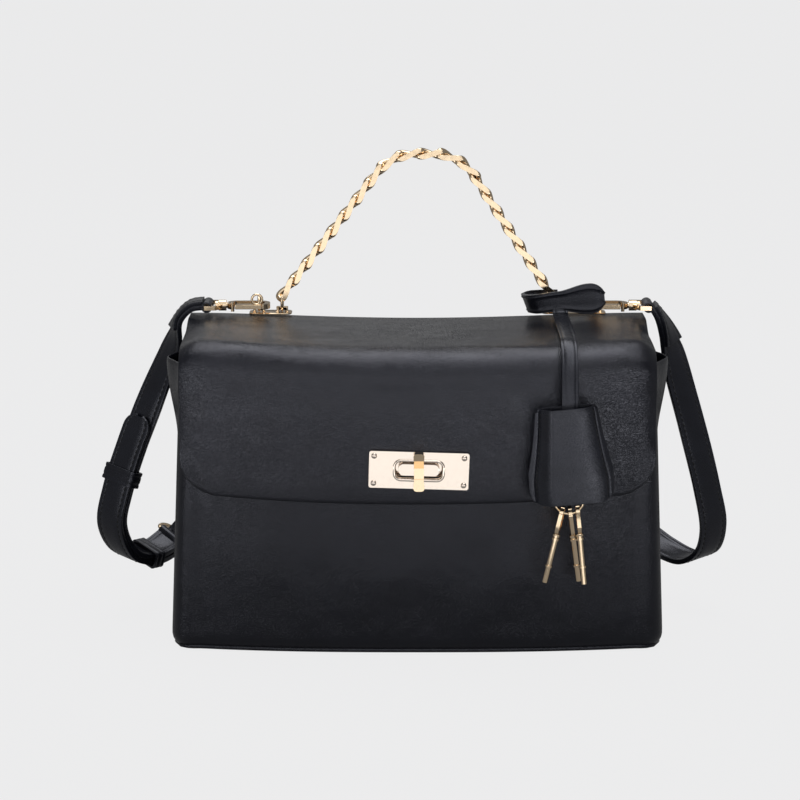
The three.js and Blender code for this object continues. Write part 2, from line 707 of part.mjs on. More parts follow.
function hookBody() {
  const long = HOOK.base - HOOK.tip;
  const middle = (HOOK.base + HOOK.tip) / 2;
  const hole = [long - 2 * HOOK.end, 2 * (HOOK.half - HOOK.rail), 3];
  const shape = roundedBox(long, 2 * HOOK.half, 6, hole);
  const frame = plate(shape, HOOK_T, 5).translate(middle, HOOK_Y, HOOK_Z - HOOK_T / 2);
  const mouth = block(17.2, 6, 10, [94.4, HOOK_Y - HOOK.half, HOOK_Z]);
  const neck = rod(vec(HOOK.base - 1, HOOK_Y, HOOK_Z), vec(HOOK.base + 5.4, HOOK_Y, HOOK_Z), 1.6);
  const head = rod(vec(HOOK.base + 5.2, HOOK_Y, HOOK_Z), vec(HOOK.base + 6.6, HOOK_Y, HOOK_Z), 2.6);
  const pin = rod(vec(HOOK.pinX, HOOK.pinY, HOOK_Z - 2.6), vec(HOOK.pinX, HOOK.pinY, HOOK_Z + 2.6), 1, 10);
  return join(cut(frame, mouth), neck, head, pin);
}

function hookGate() {
  const bar = block(14.8, 2.3, 2.6, [94.4, HOOK_Y - 5.75, HOOK_Z]);
  const thumb = roundRing(vec(89.5, HOOK_Y - 5.75, HOOK_Z + 4.2), 2.9, 0.75, 14, 6, "z");
  return join(bar, thumb);
}

function swivel() {
  const inner = [[111.4, -5.4], [113.6, -8.9], [116.4, -8.9], [116.4, 8.9], [113.6, 8.9], [111.4, 5.4]];
  const outer = [
    [109, -3.4], [109.4, -6], [112.6, -11], [118.8, -11],
    [118.8, 11], [112.6, 11], [109.4, 6], [109, 3.4],
  ];
  const shape = fromPoints(outer);
  shape.holes.push(new THREE.Path(inner.map(([x, y]) => new THREE.Vector2(x, y))));
  const frame = plate(shape, 2.4).translate(0, HOOK_Y, HOOK_Z - 1.2);
  const barrel = rod(vec(107.1, HOOK_Y, HOOK_Z), vec(111.3, HOOK_Y, HOOK_Z), 3.1, 14);
  const bore = rod(vec(100, HOOK_Y, HOOK_Z), vec(111.8, HOOK_Y, HOOK_Z), 1.95, 14);
  return cut(join(frame, barrel), bore);
}

for (const [word, side] of [["left", -1], ["right", 1]]) {
  const place = new THREE.Matrix4().makeScale(side, 1, 1).setPosition(CLIP_SHIFT[word], 0, 0);
  add(`hook_${word}`, hookBody(), gold, place);
  add(`gate_${word}`, hookGate(), gold, place);
  add(`swivel_${word}`, swivel(), gold, place);
}

// Shoulder strap

const LEFT_ROUTE = [
  [[-118.8, HOOK_Y, HOOK_Z], [0, 1, 0]],
  [[-126.4, HOOK_Y, 177.3], [-0.03, 1, 0]],
  [[-133, 32, 170.6], [-0.08, 1, 0]],
  [[-138, 31, 155], [-0.62, 0.78, 0]],
  [[-150, 29, 125.5], [-0.86, 0.5, 0]],
  [[-160, 26, 99.5], [-0.86, 0.5, 0]],
  [[-168.5, 23, 73.5], [-0.86, 0.5, 0]],
  [[-172, 24, 54], [-0.84, 0.54, 0]],
  [[-165.5, 31, 37.5], [-0.76, 0.64, 0.1]],
  [[-154, 44, 33], [-0.64, 0.7, 0.3]],
  [[-143, 57, 37], [-0.5, 0.68, 0.54]],
];
const MIDDLE_ROUTE = [
  [[-132, 67, 43], [-0.36, 0.6, 0.72]],
  [[-112, 77, 50], [-0.2, 0.5, 0.85]],
  [[-70, 85, 57], [-0.08, 0.38, 0.92]],
  [[0, 88, 61], [0, 0.34, 0.94]],
  [[70, 85, 56], [0.08, 0.38, 0.92]],
  [[112, 76, 46], [0.2, 0.5, 0.85]],
];
const RIGHT_ROUTE = [
  [[132, 66, 38], [0.42, 0.64, 0.64]],
  [[145, 53, 32], [0.56, 0.72, 0.4]],
  [[157.5, 39, 30], [0.72, 0.68, 0.16]],
  [[166, 29, 37], [0.82, 0.57, 0]],
  [[168.6, 24, 52], [0.86, 0.5, 0]],
  [[164.5, 24, 75], [0.86, 0.5, 0]],
  [[155, 27, 112], [0.86, 0.5, 0]],
  [[148, 30, 137], [0.84, 0.54, 0]],
  [[144, 31.5, 152.5], [0.7, 0.71, 0]],
  [[139.8, 32, 164], [0.4, 0.92, 0]],
  [[135, 32.2, 173], [0.12, 1, 0]],
  [[130.8, HOOK_Y, HOOK_Z], [0, 1, 0]],
];

// The doubled end of a strap round a bar.
const strapEye = (at, across, r, length) => {
  const half = across.clone().normalize().multiplyScalar(length / 2);
  return rod(at.clone().sub(half), at.clone().add(half), r, 14);
};

const endEye = (x) => [3.1, 1.95].map((r, k) =>
  strapEye(vec(x, HOOK_Y, HOOK_Z), vec(0, 1, 0), r, STRAP_WIDTH + 8 * k));

const shortStations = route(LEFT_ROUTE, 46, -1);
const buckleAt = shortStations[shortStations.length - 1];
const [leftEye, leftBore] = endEye(-SWIVEL_BAR_X - CLIP_SHIFT.left);
const buckleBore = strapEye(buckleAt.at, buckleAt.across, 1.75, 40);
const buckleSide = buckleAt.out.clone().cross(buckleAt.along);
const bucklePlace = new THREE.Matrix4().makeBasis(buckleAt.along, buckleSide, buckleAt.out)
  .setPosition(buckleAt.at);
add("strap_short", cut(
  join(
    strip(shortStations, STRAP_WIDTH, STRAP_T),
    leftEye,
    strapEye(buckleAt.at, buckleAt.across, 3, STRAP_WIDTH),
  ),
  leftBore,
  buckleBore,
  block(11, 4.4, 9, [1.9, 0, 0]).applyMatrix4(bucklePlace),
), edgePaint);

// The long part comes from the right clip, passes the buckle and doubles back up the left side.
const TAIL_TOP = 110.5;
const TAIL_GAP = STRAP_T + 0.6;
const BUCKLE_LIFT = 3 + STRAP_T / 2 + 0.5;
const longRoute = [...[...RIGHT_ROUTE].reverse(), ...[...MIDDLE_ROUTE].reverse()];
const longStations = route(longRoute, 84, 1);
const tailSource = [...shortStations].reverse();
const tail = [];
tailSource.forEach((s, i) => {
  if (s.at.z > TAIL_TOP || i > 40) {
    return;
  }
  const lift = mix(BUCKLE_LIFT, TAIL_GAP, smooth(i, 1, 6));
  tail.push({ ...s, at: s.at.clone().addScaledVector(s.out, lift) });
});
const tipEnd = tail[tail.length - 1];
const tipAlong = tipEnd.at.clone().sub(tail[tail.length - 2].at).normalize();
for (const [ahead, w] of [[3.4, 0.93], [6, 0.72], [7.4, 0.36]]) {
  tail.push({ ...tipEnd, at: tipEnd.at.clone().addScaledVector(tipAlong, ahead), w: STRAP_WIDTH * w });
}
const joinCurve = new THREE.CatmullRomCurve3([
  longStations[longStations.length - 2].at,
  longStations[longStations.length - 1].at,
  tail[0].at.clone().addScaledVector(buckleAt.along, 7),
  tail[0].at,
]);
const bridge = [0.45, 0.6, 0.75, 0.88].map((t) => {
  const s = (t - 1 / 3) * 1.5;
  const across = longStations[longStations.length - 1].across.clone().lerp(buckleAt.across, s);
  const along = joinCurve.getTangent(t);
  across.addScaledVector(along, -across.dot(along)).normalize();
  return { at: joinCurve.getPoint(t), across, out: along.clone().cross(across) };
});
const [rightEye, rightBore] = endEye(SWIVEL_BAR_X + CLIP_SHIFT.right);
const prongSlot = block(10, 3.4, 9, [4.6, 0, BUCKLE_LIFT]).applyMatrix4(bucklePlace);
add("strap_long", cut(
  join(strip([...longStations, ...bridge, ...tail], STRAP_WIDTH, STRAP_T), rightEye),
  rightBore,
  prongSlot,
), edgePaint);

// Buckle, drawn flat at the end of the short part: x along the strap, y across it, z to its outer face.
const FAR_BAR = [13, BUCKLE_LIFT + STRAP_T / 2 + 1.8];
const buckleLoop = [
  [0, -11, 0], [0, 0, 0], [0, 11, 0], [4, 12.2, 2], [9, 12.2, 5.2],
  [FAR_BAR[0], 11, FAR_BAR[1]], [FAR_BAR[0], 0, FAR_BAR[1]], [FAR_BAR[0], -11, FAR_BAR[1]],
  [9, -12.2, 5.2], [4, -12.2, 2],
].map((p) => vec(...p));
add("buckle_frame", wire(buckleLoop, 1.2, 8), gold, bucklePlace);
const prongBase = roundRing(vec(0, 0, 0), 2.35, 0.8, 14, 6, "z");
const prongRod = rod(vec(2.2, 0, 1.2), vec(15, 0, FAR_BAR[1] + 4.2), 1, 8, 0.7);
add("buckle_prong", join(prongBase, prongRod), gold, bucklePlace);

// A keeper is a closed band round both layers of the strap.
function keeper(station, layersOut, length) {
  const deep = STRAP_T * 2 + 2.4;
  const hole = [STRAP_WIDTH + 1.8, deep - 0.2, 0.6];
  const outer = plate(roundedBox(STRAP_WIDTH + 4.4, deep + 2.4, 1.4, hole), length, 2)
    .translate(0, 0, -length / 2);
  const along = station.across.clone().cross(station.out);
  const place = new THREE.Matrix4().makeBasis(station.across, station.out, along)
    .setPosition(station.at.clone().addScaledVector(station.out, layersOut));
  return [outer, place];
}
const SLIDE_Z = 81.5;
const offSlide = (station) => Math.abs(station.at.z - SLIDE_Z);
const slideStation = shortStations.reduce((best, s) => (offSlide(s) < offSlide(best) ? s : best));
const [slideShape, slidePlace] = keeper(slideStation, TAIL_GAP / 2, 9);
add("keeper_slide", slideShape, edgePaint, slidePlace);
const fixedStation = shortStations[shortStations.length - 6];
const [fixedShape, fixedPlace] = keeper(fixedStation, TAIL_GAP / 2 + 0.2, 7);
add("keeper_fixed", fixedShape, edgePaint, fixedPlace);

// Fob loop round the right end of the chain, with its rounded tab to the right
const loopRoute = [
  [[104.6, 22.4, 184.6], [0, 0, 1]],
  [[97, 22.6, 184], [0, 0, 1]],
  [[88, 23, 183.2], [0, 0, 1]],
  [[77, 24.2, 182], [0, 0, 1]],
  [[67, 27.5, 180.2], [0, 0, 1]],
  [[62.4, 36, 179.4], [0, 0, 1]],
  [[66, 45, 179.2], [0, 0, 1]],
  [[73, 47.6, 179.2], [0, 0, 1]],
  [[80, 47.8, 179.2], [0, 0, 1]],
];
const LOOP_WIDTH = 11;
const TAB_WIDTHS = [6, 11.6, 15.2, 16.7, 17, 16.3, 15, 13.6, 12.2];
const loopStations = route(loopRoute, 26, 1).map((s, i) => ({ ...s, w: TAB_WIDTHS[i] ?? LOOP_WIDTH }));
const loopTail = route([
  [[FOB_X, 23.9, 184], [1, 0, 0]],
  [[FOB_X, 23.9, 180], [1, 0, 0]],
  [[FOB_X, 23.6, 177.8], [1, 0, 0]],
  [[FOB_X, 23, 175.8], [1, 0, 0]],
], 5, 1);
add("fob_loop", join(strip(loopStations, LOOP_WIDTH, FOB_T), strip(loopTail, FOB_WIDTH, FOB_T)), edgePaint);

// Fob strap over the top of the flap and down its front, ending in a narrow eye for the key ring
const strapLift = 1 + FOB_T / 2;
const fobTop = [[HINGE_Y - 1, 0.2], [5, 0.2], [-18, 0.2], [-34, 0.6]]
  .map(([y, up]) => [[FOB_X, y, topZ(FOB_X, y) + strapLift + up], [1, 0, 0]]);
const fobRoute = [
  ...fobTop,
  [[FOB_X, -50, topZ(FOB_X, -50) + 1.6], [1, 0, 0]],
  [[FOB_X, -60, 162.5], [1, 0, 0]],
  [[FOB_X, -65, 152.5], [1, 0, 0]],
  [[FOB_X, FOB_Y, 141.5], [1, 0, 0]],
  [[FOB_X, FOB_Y, 125.5], [1, 0, 0]],
  [[FOB_X, FOB_Y, 111.5], [1, 0, 0]],
  [[FOB_X, FOB_Y, KEY_RING_Z + KEY_RING_R], [1, 0, 0]],
];
const fobStations = route(fobRoute, 34, 1).map((s, i) => ({ ...s, w: i > 31 ? 5 : FOB_WIDTH }));
const shifted = (station, step) => ({
  ...station,
  at: station.at.clone().addScaledVector(station.along, step),
});
const foldIndex = fobStations.findIndex((s) => s.at.y < FOB_FOLD_Y);
const fobFold = fobStations[foldIndex];
const topRun = [...fobStations.slice(0, foldIndex), shifted(fobFold, -FOB_FOLD_GAP / 2)];
const hangingRun = [shifted(fobFold, FOB_FOLD_GAP / 2), ...fobStations.slice(foldIndex + 1)];
add("fob_strap_top", strip(topRun, FOB_WIDTH, FOB_T), edgePaint);
const ringSeat = vec(FOB_X, FOB_Y, KEY_RING_Z + KEY_RING_R);
const seatAxis = vec(1, 0, 0);
add("fob_strap", cut(
  join(strip(hangingRun, FOB_WIDTH, FOB_T), strapEye(ringSeat, seatAxis, 2.6, 5)),
  strapEye(ringSeat, seatAxis, 1.35, 20),
), edgePaint);

// Bell-shaped key cover, open below, with a slot above for the strap
function bellOutline(inset, low) {
  const [topW, topZ0] = BELL_TOP;
  const [lowW, lowZ0] = BELL_BOTTOM;
  const top = topZ0 - inset;
  const bottom = lowZ0 - low;
  const a = topW / 2 - inset;
  const b = lowW / 2 - inset;
  const half = [
    [a - 1.5, top], [a, top - 2], [mix(a, b, 0.5) - 0.4, mix(top, bottom, 0.5)], [b, bottom + 12],
    [b - 0.3, bottom + 7], [b - 2.6, bottom + 3], [b - 6.5, bottom + 0.9], [b - 12, bottom],
  ];
  return fromPoints([...half, ...[...half].reverse().map(([x, z]) => [-x, z])]);
}
const upright = (geometry, depth) => geometry.rotateX(Math.PI / 2).translate(0, depth / 2, 0);
const bellTurn = new THREE.Matrix4().makeTranslation(FOB_X, FOB_Y, BELL_MIDDLE_Z)
  .multiply(new THREE.Matrix4().makeRotationY(-BELL_TILT))
  .multiply(new THREE.Matrix4().makeTranslation(0, 0, -BELL_MIDDLE_Z));
const bellRoom = BELL_T - 3.6;
add("clochette", cut(
  upright(plate(bellOutline(0, 0), BELL_T), BELL_T),
  upright(plate(bellOutline(3.2, 6), bellRoom), bellRoom),
  block(FOB_WIDTH + 6, 5.2, 20, [0, 0, BELL_TOP[1]]),
), edgePaint, bellTurn);

// Key ring and keys
const ringCentre = vec(FOB_X, FOB_Y, KEY_RING_Z);
add("key_ring", roundRing(ringCentre, KEY_RING_R, KEY_RING_WIRE_R, 24, 6, "z"), gold);

// A barrel key hanging down from the top of its oval bow
function key(turn) {
  const bow = plate(roundedBox(9.6, 17, 4.6, [5, 12, 2.4]), 2.2).rotateX(Math.PI / 2).translate(0, 1.1, -6.6);
  const collars = [-15.4, -17.4].map((z) => rod(vec(0, 0, z + 0.7), vec(0, 0, z - 0.7), 2.2, 10));
  const shaft = rod(vec(0, 0, -14.6), vec(0, 0, -42), 1.6, 10);
  const band = rod(vec(0, 0, -32), vec(0, 0, -33.2), 2.2, 10);
  const bit = cut(block(3.4, 1.4, 5, [2.2, 0, -37.6]), block(1.2, 4, 1.4, [3.5, 0, -37.4]));
  const bore = rod(vec(0, 0, -38.5), vec(0, 0, -43), 0.9, 8);
  return cut(join(bow, ...collars, shaft, band, bit), bore).rotateZ(turn);
}
const KEY_HANG = 2.5;
const KEYS = [
  { along: -25, lean: 13, back: 0, turn: 77 },
  { along: 6, lean: -8, back: 9, turn: 90 },
  { along: 36, lean: -5.5, back: -6, turn: 90 },
].map((angles) => Object.fromEntries(
  Object.entries(angles).map(([name, degrees]) => [name, THREE.MathUtils.degToRad(degrees)])));
KEYS.forEach(({ along, lean, back, turn }, i) => {
  const seat = ringCentre.clone().add(vec(KEY_RING_R * Math.sin(along), 0, -KEY_RING_R * Math.cos(along)));
  const place = new THREE.Matrix4().makeTranslation(seat.x, seat.y, seat.z)
    .multiply(new THREE.Matrix4().makeRotationY(lean))
    .multiply(new THREE.Matrix4().makeRotationX(back))
    .multiply(new THREE.Matrix4().makeTranslation(0, 0, KEY_HANG));
  add(`key_${i + 1}`, key(turn), gold, place);
});

export default bag;
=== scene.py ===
# %% [markdown]
# # A black flap handbag
# This lesson dresses a small leather handbag: a soft body, a flap with a gold turn lock, a curb chain as
# handle, a clip-on shoulder strap and a key fob. The working solids come as a fixed frame, in metres, so
# every new piece is modelled where its solid already is; most then ride on the body that carries them.

# %% Load the frame
import json
import math

import bmesh
import bpy
from mathutils import Matrix, Vector, noise

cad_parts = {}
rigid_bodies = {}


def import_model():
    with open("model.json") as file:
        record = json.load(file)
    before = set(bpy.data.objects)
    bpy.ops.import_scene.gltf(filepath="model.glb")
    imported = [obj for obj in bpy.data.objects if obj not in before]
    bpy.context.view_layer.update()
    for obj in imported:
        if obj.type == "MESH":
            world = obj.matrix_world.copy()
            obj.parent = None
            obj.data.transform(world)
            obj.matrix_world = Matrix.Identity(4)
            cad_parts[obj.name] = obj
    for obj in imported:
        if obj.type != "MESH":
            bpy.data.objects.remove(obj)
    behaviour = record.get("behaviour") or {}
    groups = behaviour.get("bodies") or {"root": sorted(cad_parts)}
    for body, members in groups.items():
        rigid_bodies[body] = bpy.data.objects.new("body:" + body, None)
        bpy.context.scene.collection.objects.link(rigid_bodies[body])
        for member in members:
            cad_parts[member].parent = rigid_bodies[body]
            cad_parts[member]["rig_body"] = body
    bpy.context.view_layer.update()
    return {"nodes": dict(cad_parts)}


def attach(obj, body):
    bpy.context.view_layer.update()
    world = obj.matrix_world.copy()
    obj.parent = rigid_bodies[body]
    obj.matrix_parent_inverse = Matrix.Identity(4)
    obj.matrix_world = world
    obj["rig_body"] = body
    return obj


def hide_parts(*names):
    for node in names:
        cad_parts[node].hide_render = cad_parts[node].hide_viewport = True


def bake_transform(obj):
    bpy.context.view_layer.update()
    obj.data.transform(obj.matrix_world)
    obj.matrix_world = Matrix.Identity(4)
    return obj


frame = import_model()
scene = bpy.context.scene
MM = 0.001

# %% [markdown]
# ## Camera
# The photo looks almost straight at the front, a little from above, through a long lens. The lens and the
# distance follow from how much smaller the back of the bag looks than its front; the aim is the middle of
# the picture.

# %% Camera
CAMERA_AIM = Vector((-9.5, -56, 142.9)) * MM
CAMERA_DISTANCE = 1.3
CAMERA_ELEVATION = math.radians(12)
CAMERA_LENS = 110.4

camera_data = bpy.data.cameras.new("camera")
camera_data.lens = CAMERA_LENS
camera_data.sensor_width = 36
camera = bpy.data.objects.new("camera", camera_data)
scene.collection.objects.link(camera)
toward_camera = Vector((0, -math.cos(CAMERA_ELEVATION), math.sin(CAMERA_ELEVATION)))
camera.location = CAMERA_AIM + toward_camera * CAMERA_DISTANCE
camera.rotation_euler = (-toward_camera).to_track_quat("-Z", "Y").to_euler()
scene.camera = camera
scene.view_settings.view_transform = "Standard"
print("camera at", [round(c, 3) for c in camera.location])

# %% [markdown]
# ## Node helpers
# A finish is a small graph of shader nodes. Two helpers keep the graphs short: one adds a node and fills
# its inputs, the other starts a material and hands back its Principled shader. A plain number goes straight
# into the socket.

# %% Node helpers
def add_node(material, kind, settings=None, **inputs):
    node = material.node_tree.nodes.new("ShaderNode" + kind)
    for name, value in (settings or {}).items():
        setattr(node, name, value)
    for name, value in inputs.items():
        socket = node.inputs[int(name[1:])] if name[0] == "_" else node.inputs[name.replace("_", " ")]
        if isinstance(value, bpy.types.NodeSocket):
            material.node_tree.links.new(value, socket)
        else:
            socket.default_value = value
    return node


def new_finish(name, **sockets):
    material = bpy.data.materials.new(name)
    material.use_nodes = True
    shader = material.node_tree.nodes["Principled BSDF"]
    for socket, value in sockets.items():
        shader.inputs[socket.replace("_", " ")].default_value = value
    return material, shader


def connect(material, source, shader, socket):
    material.node_tree.links.new(source, shader.inputs[socket])


# %% [markdown]
# ## Studio
# The photo stands on an even pale grey. Floor and backdrop show that grey to the camera by their own light,
# and the floor keeps a share of real shading, so the bag still has its shadow. Glossy black leather is
# drawn by what it mirrors. Seen a little from above, the front mirrors the floor before it. A wide card
# lies there, with a narrow brighter one on each side for the rolled edges of the flap. A box overhead draws
# the crest, one behind the bag draws the top, and the boxes in front, above and at the left fill in the
# rest.

# %% Studio
STUDIO_GREY = (0.83, 0.83, 0.835, 1)
FLOOR_SIZE = 40
FLOOR_TONE = (0.2, 0.2, 0.2, 1)
FLOOR_SHOWN = 0.88
FLOOR_MIRRORED = 0.13
FLOOR_GLOW = 1.12
WORLD_STRENGTH = 0.24

floor_bm = bmesh.new()
bmesh.ops.create_grid(floor_bm, x_segments=1, y_segments=1, size=FLOOR_SIZE / 2)
floor_mesh = bpy.data.meshes.new("floor")
floor_bm.to_mesh(floor_mesh)
floor_bm.free()
floor = bpy.data.objects.new("floor", floor_mesh)
scene.collection.objects.link(floor)

floor_finish = bpy.data.materials.new("studio_floor")
floor_finish.use_nodes = True
floor_finish.node_tree.nodes.remove(floor_finish.node_tree.nodes["Principled BSDF"])
rays = add_node(floor_finish, "LightPath")
mirrored = add_node(floor_finish, "Math", {"operation": "MAXIMUM"}, _0=rays.outputs["Is Glossy Ray"],
                    _1=rays.outputs["Is Transmission Ray"])
weak = add_node(floor_finish, "Math", {"operation": "MULTIPLY"}, _0=mirrored.outputs[0], _1=FLOOR_MIRRORED)
share = add_node(floor_finish, "Math", {"operation": "MULTIPLY_ADD"}, _0=rays.outputs["Is Camera Ray"],
                 _1=FLOOR_SHOWN, _2=weak.outputs[0])
lit = add_node(floor_finish, "BsdfDiffuse", Color=FLOOR_TONE)
own = add_node(floor_finish, "Emission", Color=STUDIO_GREY, Strength=FLOOR_GLOW)
floor_mix = add_node(floor_finish, "MixShader", _0=share.outputs[0], _1=lit.outputs[0], _2=own.outputs[0])
connect(floor_finish, floor_mix.outputs[0], floor_finish.node_tree.nodes["Material Output"], "Surface")
floor_mesh.materials.append(floor_finish)

world = bpy.data.worlds.new("studio")
world.use_nodes = True
sky = world.node_tree.nodes["Background"]
sky.inputs["Color"].default_value = STUDIO_GREY
sky_rays = add_node(world, "LightPath")
sky_level = add_node(world, "MapRange", Value=sky_rays.outputs["Is Camera Ray"], To_Min=WORLD_STRENGTH,
                     To_Max=1.0)
connect(world, sky_level.outputs[0], sky, "Strength")
scene.world = world


def soft_box(name, place, aim, size, radiance):
    data = bpy.data.lights.new(name, "AREA")
    data.shape = "RECTANGLE"
    data.size, data.size_y = size
    data.energy = radiance * math.pi * size[0] * size[1]
    lamp = bpy.data.objects.new(name, data)
    lamp.location = place
    lamp.rotation_euler = (Vector(aim) - Vector(place)).to_track_quat("-Z", "Y").to_euler()
    scene.collection.objects.link(lamp)


soft_box("front_card", (-0.06, -1.52, 0.012), (-0.06, -1.52, 1), (0.88, 2.4), 1.0)
soft_box("front_box", (0.1, -2.6, 0.85), (0, 0, 0.1), (2.2, 1.1), 1.0)
soft_box("overhead_box", (0.1, 0.1, 1.5), (0, 0, 0.1), (1.7, 0.9), 2.8)
soft_box("upper_box", (0, -1.1, 1.35), (0, 0, 0.15), (1.8, 1.0), 0.6)
soft_box("back_box", (-0.35, 1.8, 0.85), (0, 0, 0.15), (1.0, 0.5), 0.45)
soft_box("right_card", (0.35, -0.75, 0.016), (0.35, -0.75, 1), (0.2, 0.9), 3.6)
soft_box("left_card", (-0.47, -0.75, 0.016), (-0.47, -0.75, 1), (0.3, 0.9), 2.4)
soft_box("left_strip", (-0.95, -1.1, 0.35), (-0.1, 0, 0.1), (0.3, 0.7), 2.0)
print("studio: floor, world and", len(bpy.data.lights), "lamps")

# %% [markdown]
# ## Leather
# The bag is cut from a soft black nappa with a thin shiny topcoat. Its grain is a net of tiny folds, about
# a millimetre apart and drawn out along one slanting direction. Two cell textures at different sizes, bent
# by a slow noise, make that net; a wide noise adds the gentle unevenness of a soft hide, and the folds are
# a little rougher than the shoulders between them. The straps are cut from a firmer hide with a finer,
# flatter grain.

# %% Leather
def leather_finish(name, black, roughness, grain_size, grain_depth):
    material, shader = new_finish(name, Specular_IOR_Level=0.55, Specular_Tint=(0.86, 0.88, 1, 1))
    place = add_node(material, "TexCoord").outputs["Object"]
    drift = add_node(material, "TexNoise", Vector=place, Scale=38.0, Detail=2.0)
    bent = add_node(material, "VectorMath", {"operation": "MULTIPLY_ADD"}, _0=drift.outputs["Color"],
                    _1=(0.012, 0.012, 0.012), _2=place)
    slant = add_node(material, "Mapping", Vector=bent.outputs[0], Rotation=(0.0, 0.6, 0.35),
                     Scale=(1.0, 1.0, 2.1))
    net = add_node(material, "TexVoronoi", {"feature": "DISTANCE_TO_EDGE"}, Vector=slant.outputs[0],
                   Scale=1 / grain_size)
    folds = add_node(material, "MapRange", Value=net.outputs["Distance"], From_Min=0.0, From_Max=0.34)
    pebble = add_node(material, "TexVoronoi", {"feature": "SMOOTH_F1"}, Vector=slant.outputs[0],
                      Scale=2.4 / grain_size, Smoothness=0.6)
    grain = add_node(material, "Math", {"operation": "MULTIPLY_ADD"}, _0=pebble.outputs["Distance"], _1=-0.45,
                     _2=folds.outputs[0])
    hide = add_node(material, "TexNoise", Vector=place, Scale=70.0, Detail=3.0, Roughness=0.5)
    soft = add_node(material, "Bump", Height=hide.outputs[0], Strength=0.2, Distance=0.0005)
    bump = add_node(material, "Bump", Height=grain.outputs[0], Strength=0.4, Distance=grain_depth,
                    Normal=soft.outputs[0])
    connect(material, bump.outputs[0], shader, "Normal")
    gloss = add_node(material, "MapRange", Value=grain.outputs[0], From_Min=-0.3, From_Max=0.9,
                     To_Min=roughness + 0.1, To_Max=roughness - 0.05)
    connect(material, gloss.outputs[0], shader, "Roughness")
    tone = add_node(material, "ValToRGB", Fac=hide.outputs[0])
    tone.color_ramp.elements[0].position = 0.3
    tone.color_ramp.elements[0].color = [0.72 * c for c in black] + [1]
    tone.color_ramp.elements[1].position = 0.7
    tone.color_ramp.elements[1].color = [1.25 * c for c in black] + [1]
    connect(material, tone.outputs[0], shader, "Base Color")
    return material


nappa = leather_finish("black_nappa", (0.0046, 0.0050, 0.0078), roughness=0.17, grain_size=0.0012,
                       grain_depth=0.00018)
strap_hide = leather_finish("strap_hide", (0.0075, 0.0082, 0.0118), roughness=0.22, grain_size=0.0009,
                            grain_depth=0.00006)
print("leather:", nappa.name, strap_hide.name)

# %% [markdown]
# ## Metal
# The fittings are gold plate over polished zinc, pale on the plate of the lock and warmer on the chain, the
# clips, the buckle and the keys. Plating is never a perfect mirror: a fine noise moves the roughness, and a
# faint ripple in the surface breaks up long reflections. The washer inside is plain zinc.

# %% Metal
def plated_finish(name, colour, roughness, ripple):
    material, shader = new_finish(name, Metallic=1.0, Base_Color=(*colour, 1))
    place = add_node(material, "TexCoord").outputs["Object"]
    wear = add_node(material, "TexNoise", Vector=place, Scale=420.0, Detail=4.0)
    gloss = add_node(material, "MapRange", Value=wear.outputs[0], From_Min=0.3, From_Max=0.7,
                     To_Min=roughness - 0.04, To_Max=roughness + 0.05)
    connect(material, gloss.outputs[0], shader, "Roughness")
    wave = add_node(material, "TexNoise", Vector=place, Scale=160.0, Detail=1.0)
    bump = add_node(material, "Bump", Height=wave.outputs[0], Strength=0.2, Distance=ripple)
    connect(material, bump.outputs[0], shader, "Normal")
    return material


pale_gold = plated_finish("pale_gold_plate", (0.82, 0.72, 0.63), roughness=0.11, ripple=0.00003)
warm_gold = plated_finish("warm_gold_plate", (0.93, 0.73, 0.50), roughness=0.11, ripple=0.00003)
plain_zinc = plated_finish("plain_zinc", (0.55, 0.55, 0.54), roughness=0.38, ripple=0.0003)
print("metal:", pale_gold.name, warm_gold.name, plain_zinc.name)

# %% [markdown]
# ## Cloth, thread and board
# The lining is a plain weave of dark yarn, two crossed waves at yarn pitch. Thread is a black twist with a
# dull shine, and the board under the lining is grey pressed fibre.

# %% Cloth, thread and board
YARN_PITCH = 0.0007


def woven_finish(name, colour):
    material, shader = new_finish(name, Roughness=0.88, Sheen_Weight=0.15)
    place = add_node(material, "TexCoord").outputs["Object"]
    yarns = [add_node(material, "TexWave", {"bands_direction": way}, Vector=place, Scale=0.314 / YARN_PITCH,
                      Distortion=0.6, Detail=1.0) for way in ("DIAGONAL", "Z")]
    weave = add_node(material, "Math", {"operation": "MULTIPLY"}, _0=yarns[0].outputs["Fac"],
                     _1=yarns[1].outputs["Fac"])
    bump = add_node(material, "Bump", Height=weave.outputs[0], Strength=0.5, Distance=0.0003)
    connect(material, bump.outputs[0], shader, "Normal")
    tone = add_node(material, "ValToRGB", Fac=weave.outputs[0])
    tone.color_ramp.elements[0].color = [0.55 * c for c in colour] + [1]
    tone.color_ramp.elements[1].color = [1.3 * c for c in colour] + [1]
    connect(material, tone.outputs[0], shader, "Base Color")
    return material


def twisted_thread(name, colour):
    material, shader = new_finish(name, Roughness=0.5)
    place = add_node(material, "TexCoord").outputs["Object"]
    twist = add_node(material, "TexNoise", Vector=place, Scale=2600.0, Detail=2.0)
    bump = add_node(material, "Bump", Height=twist.outputs[0], Strength=0.5, Distance=0.0001)
    connect(material, bump.outputs[0], shader, "Normal")
    tone = add_node(material, "ValToRGB", Fac=twist.outputs[0])
    tone.color_ramp.elements[0].color = [0.5 * c for c in colour] + [1]
    tone.color_ramp.elements[1].color = [1.4 * c for c in colour] + [1]
    connect(material, tone.outputs[0], shader, "Base Color")
    return material


lining_cloth = woven_finish("lining_weave", (0.022, 0.022, 0.026))
black_thread = twisted_thread("black_thread", (0.004, 0.004, 0.005))
grey_board = woven_finish("pressed_board", (0.07, 0.062, 0.05))
print("cloth:", lining_cloth.name, black_thread.name, grey_board.name)
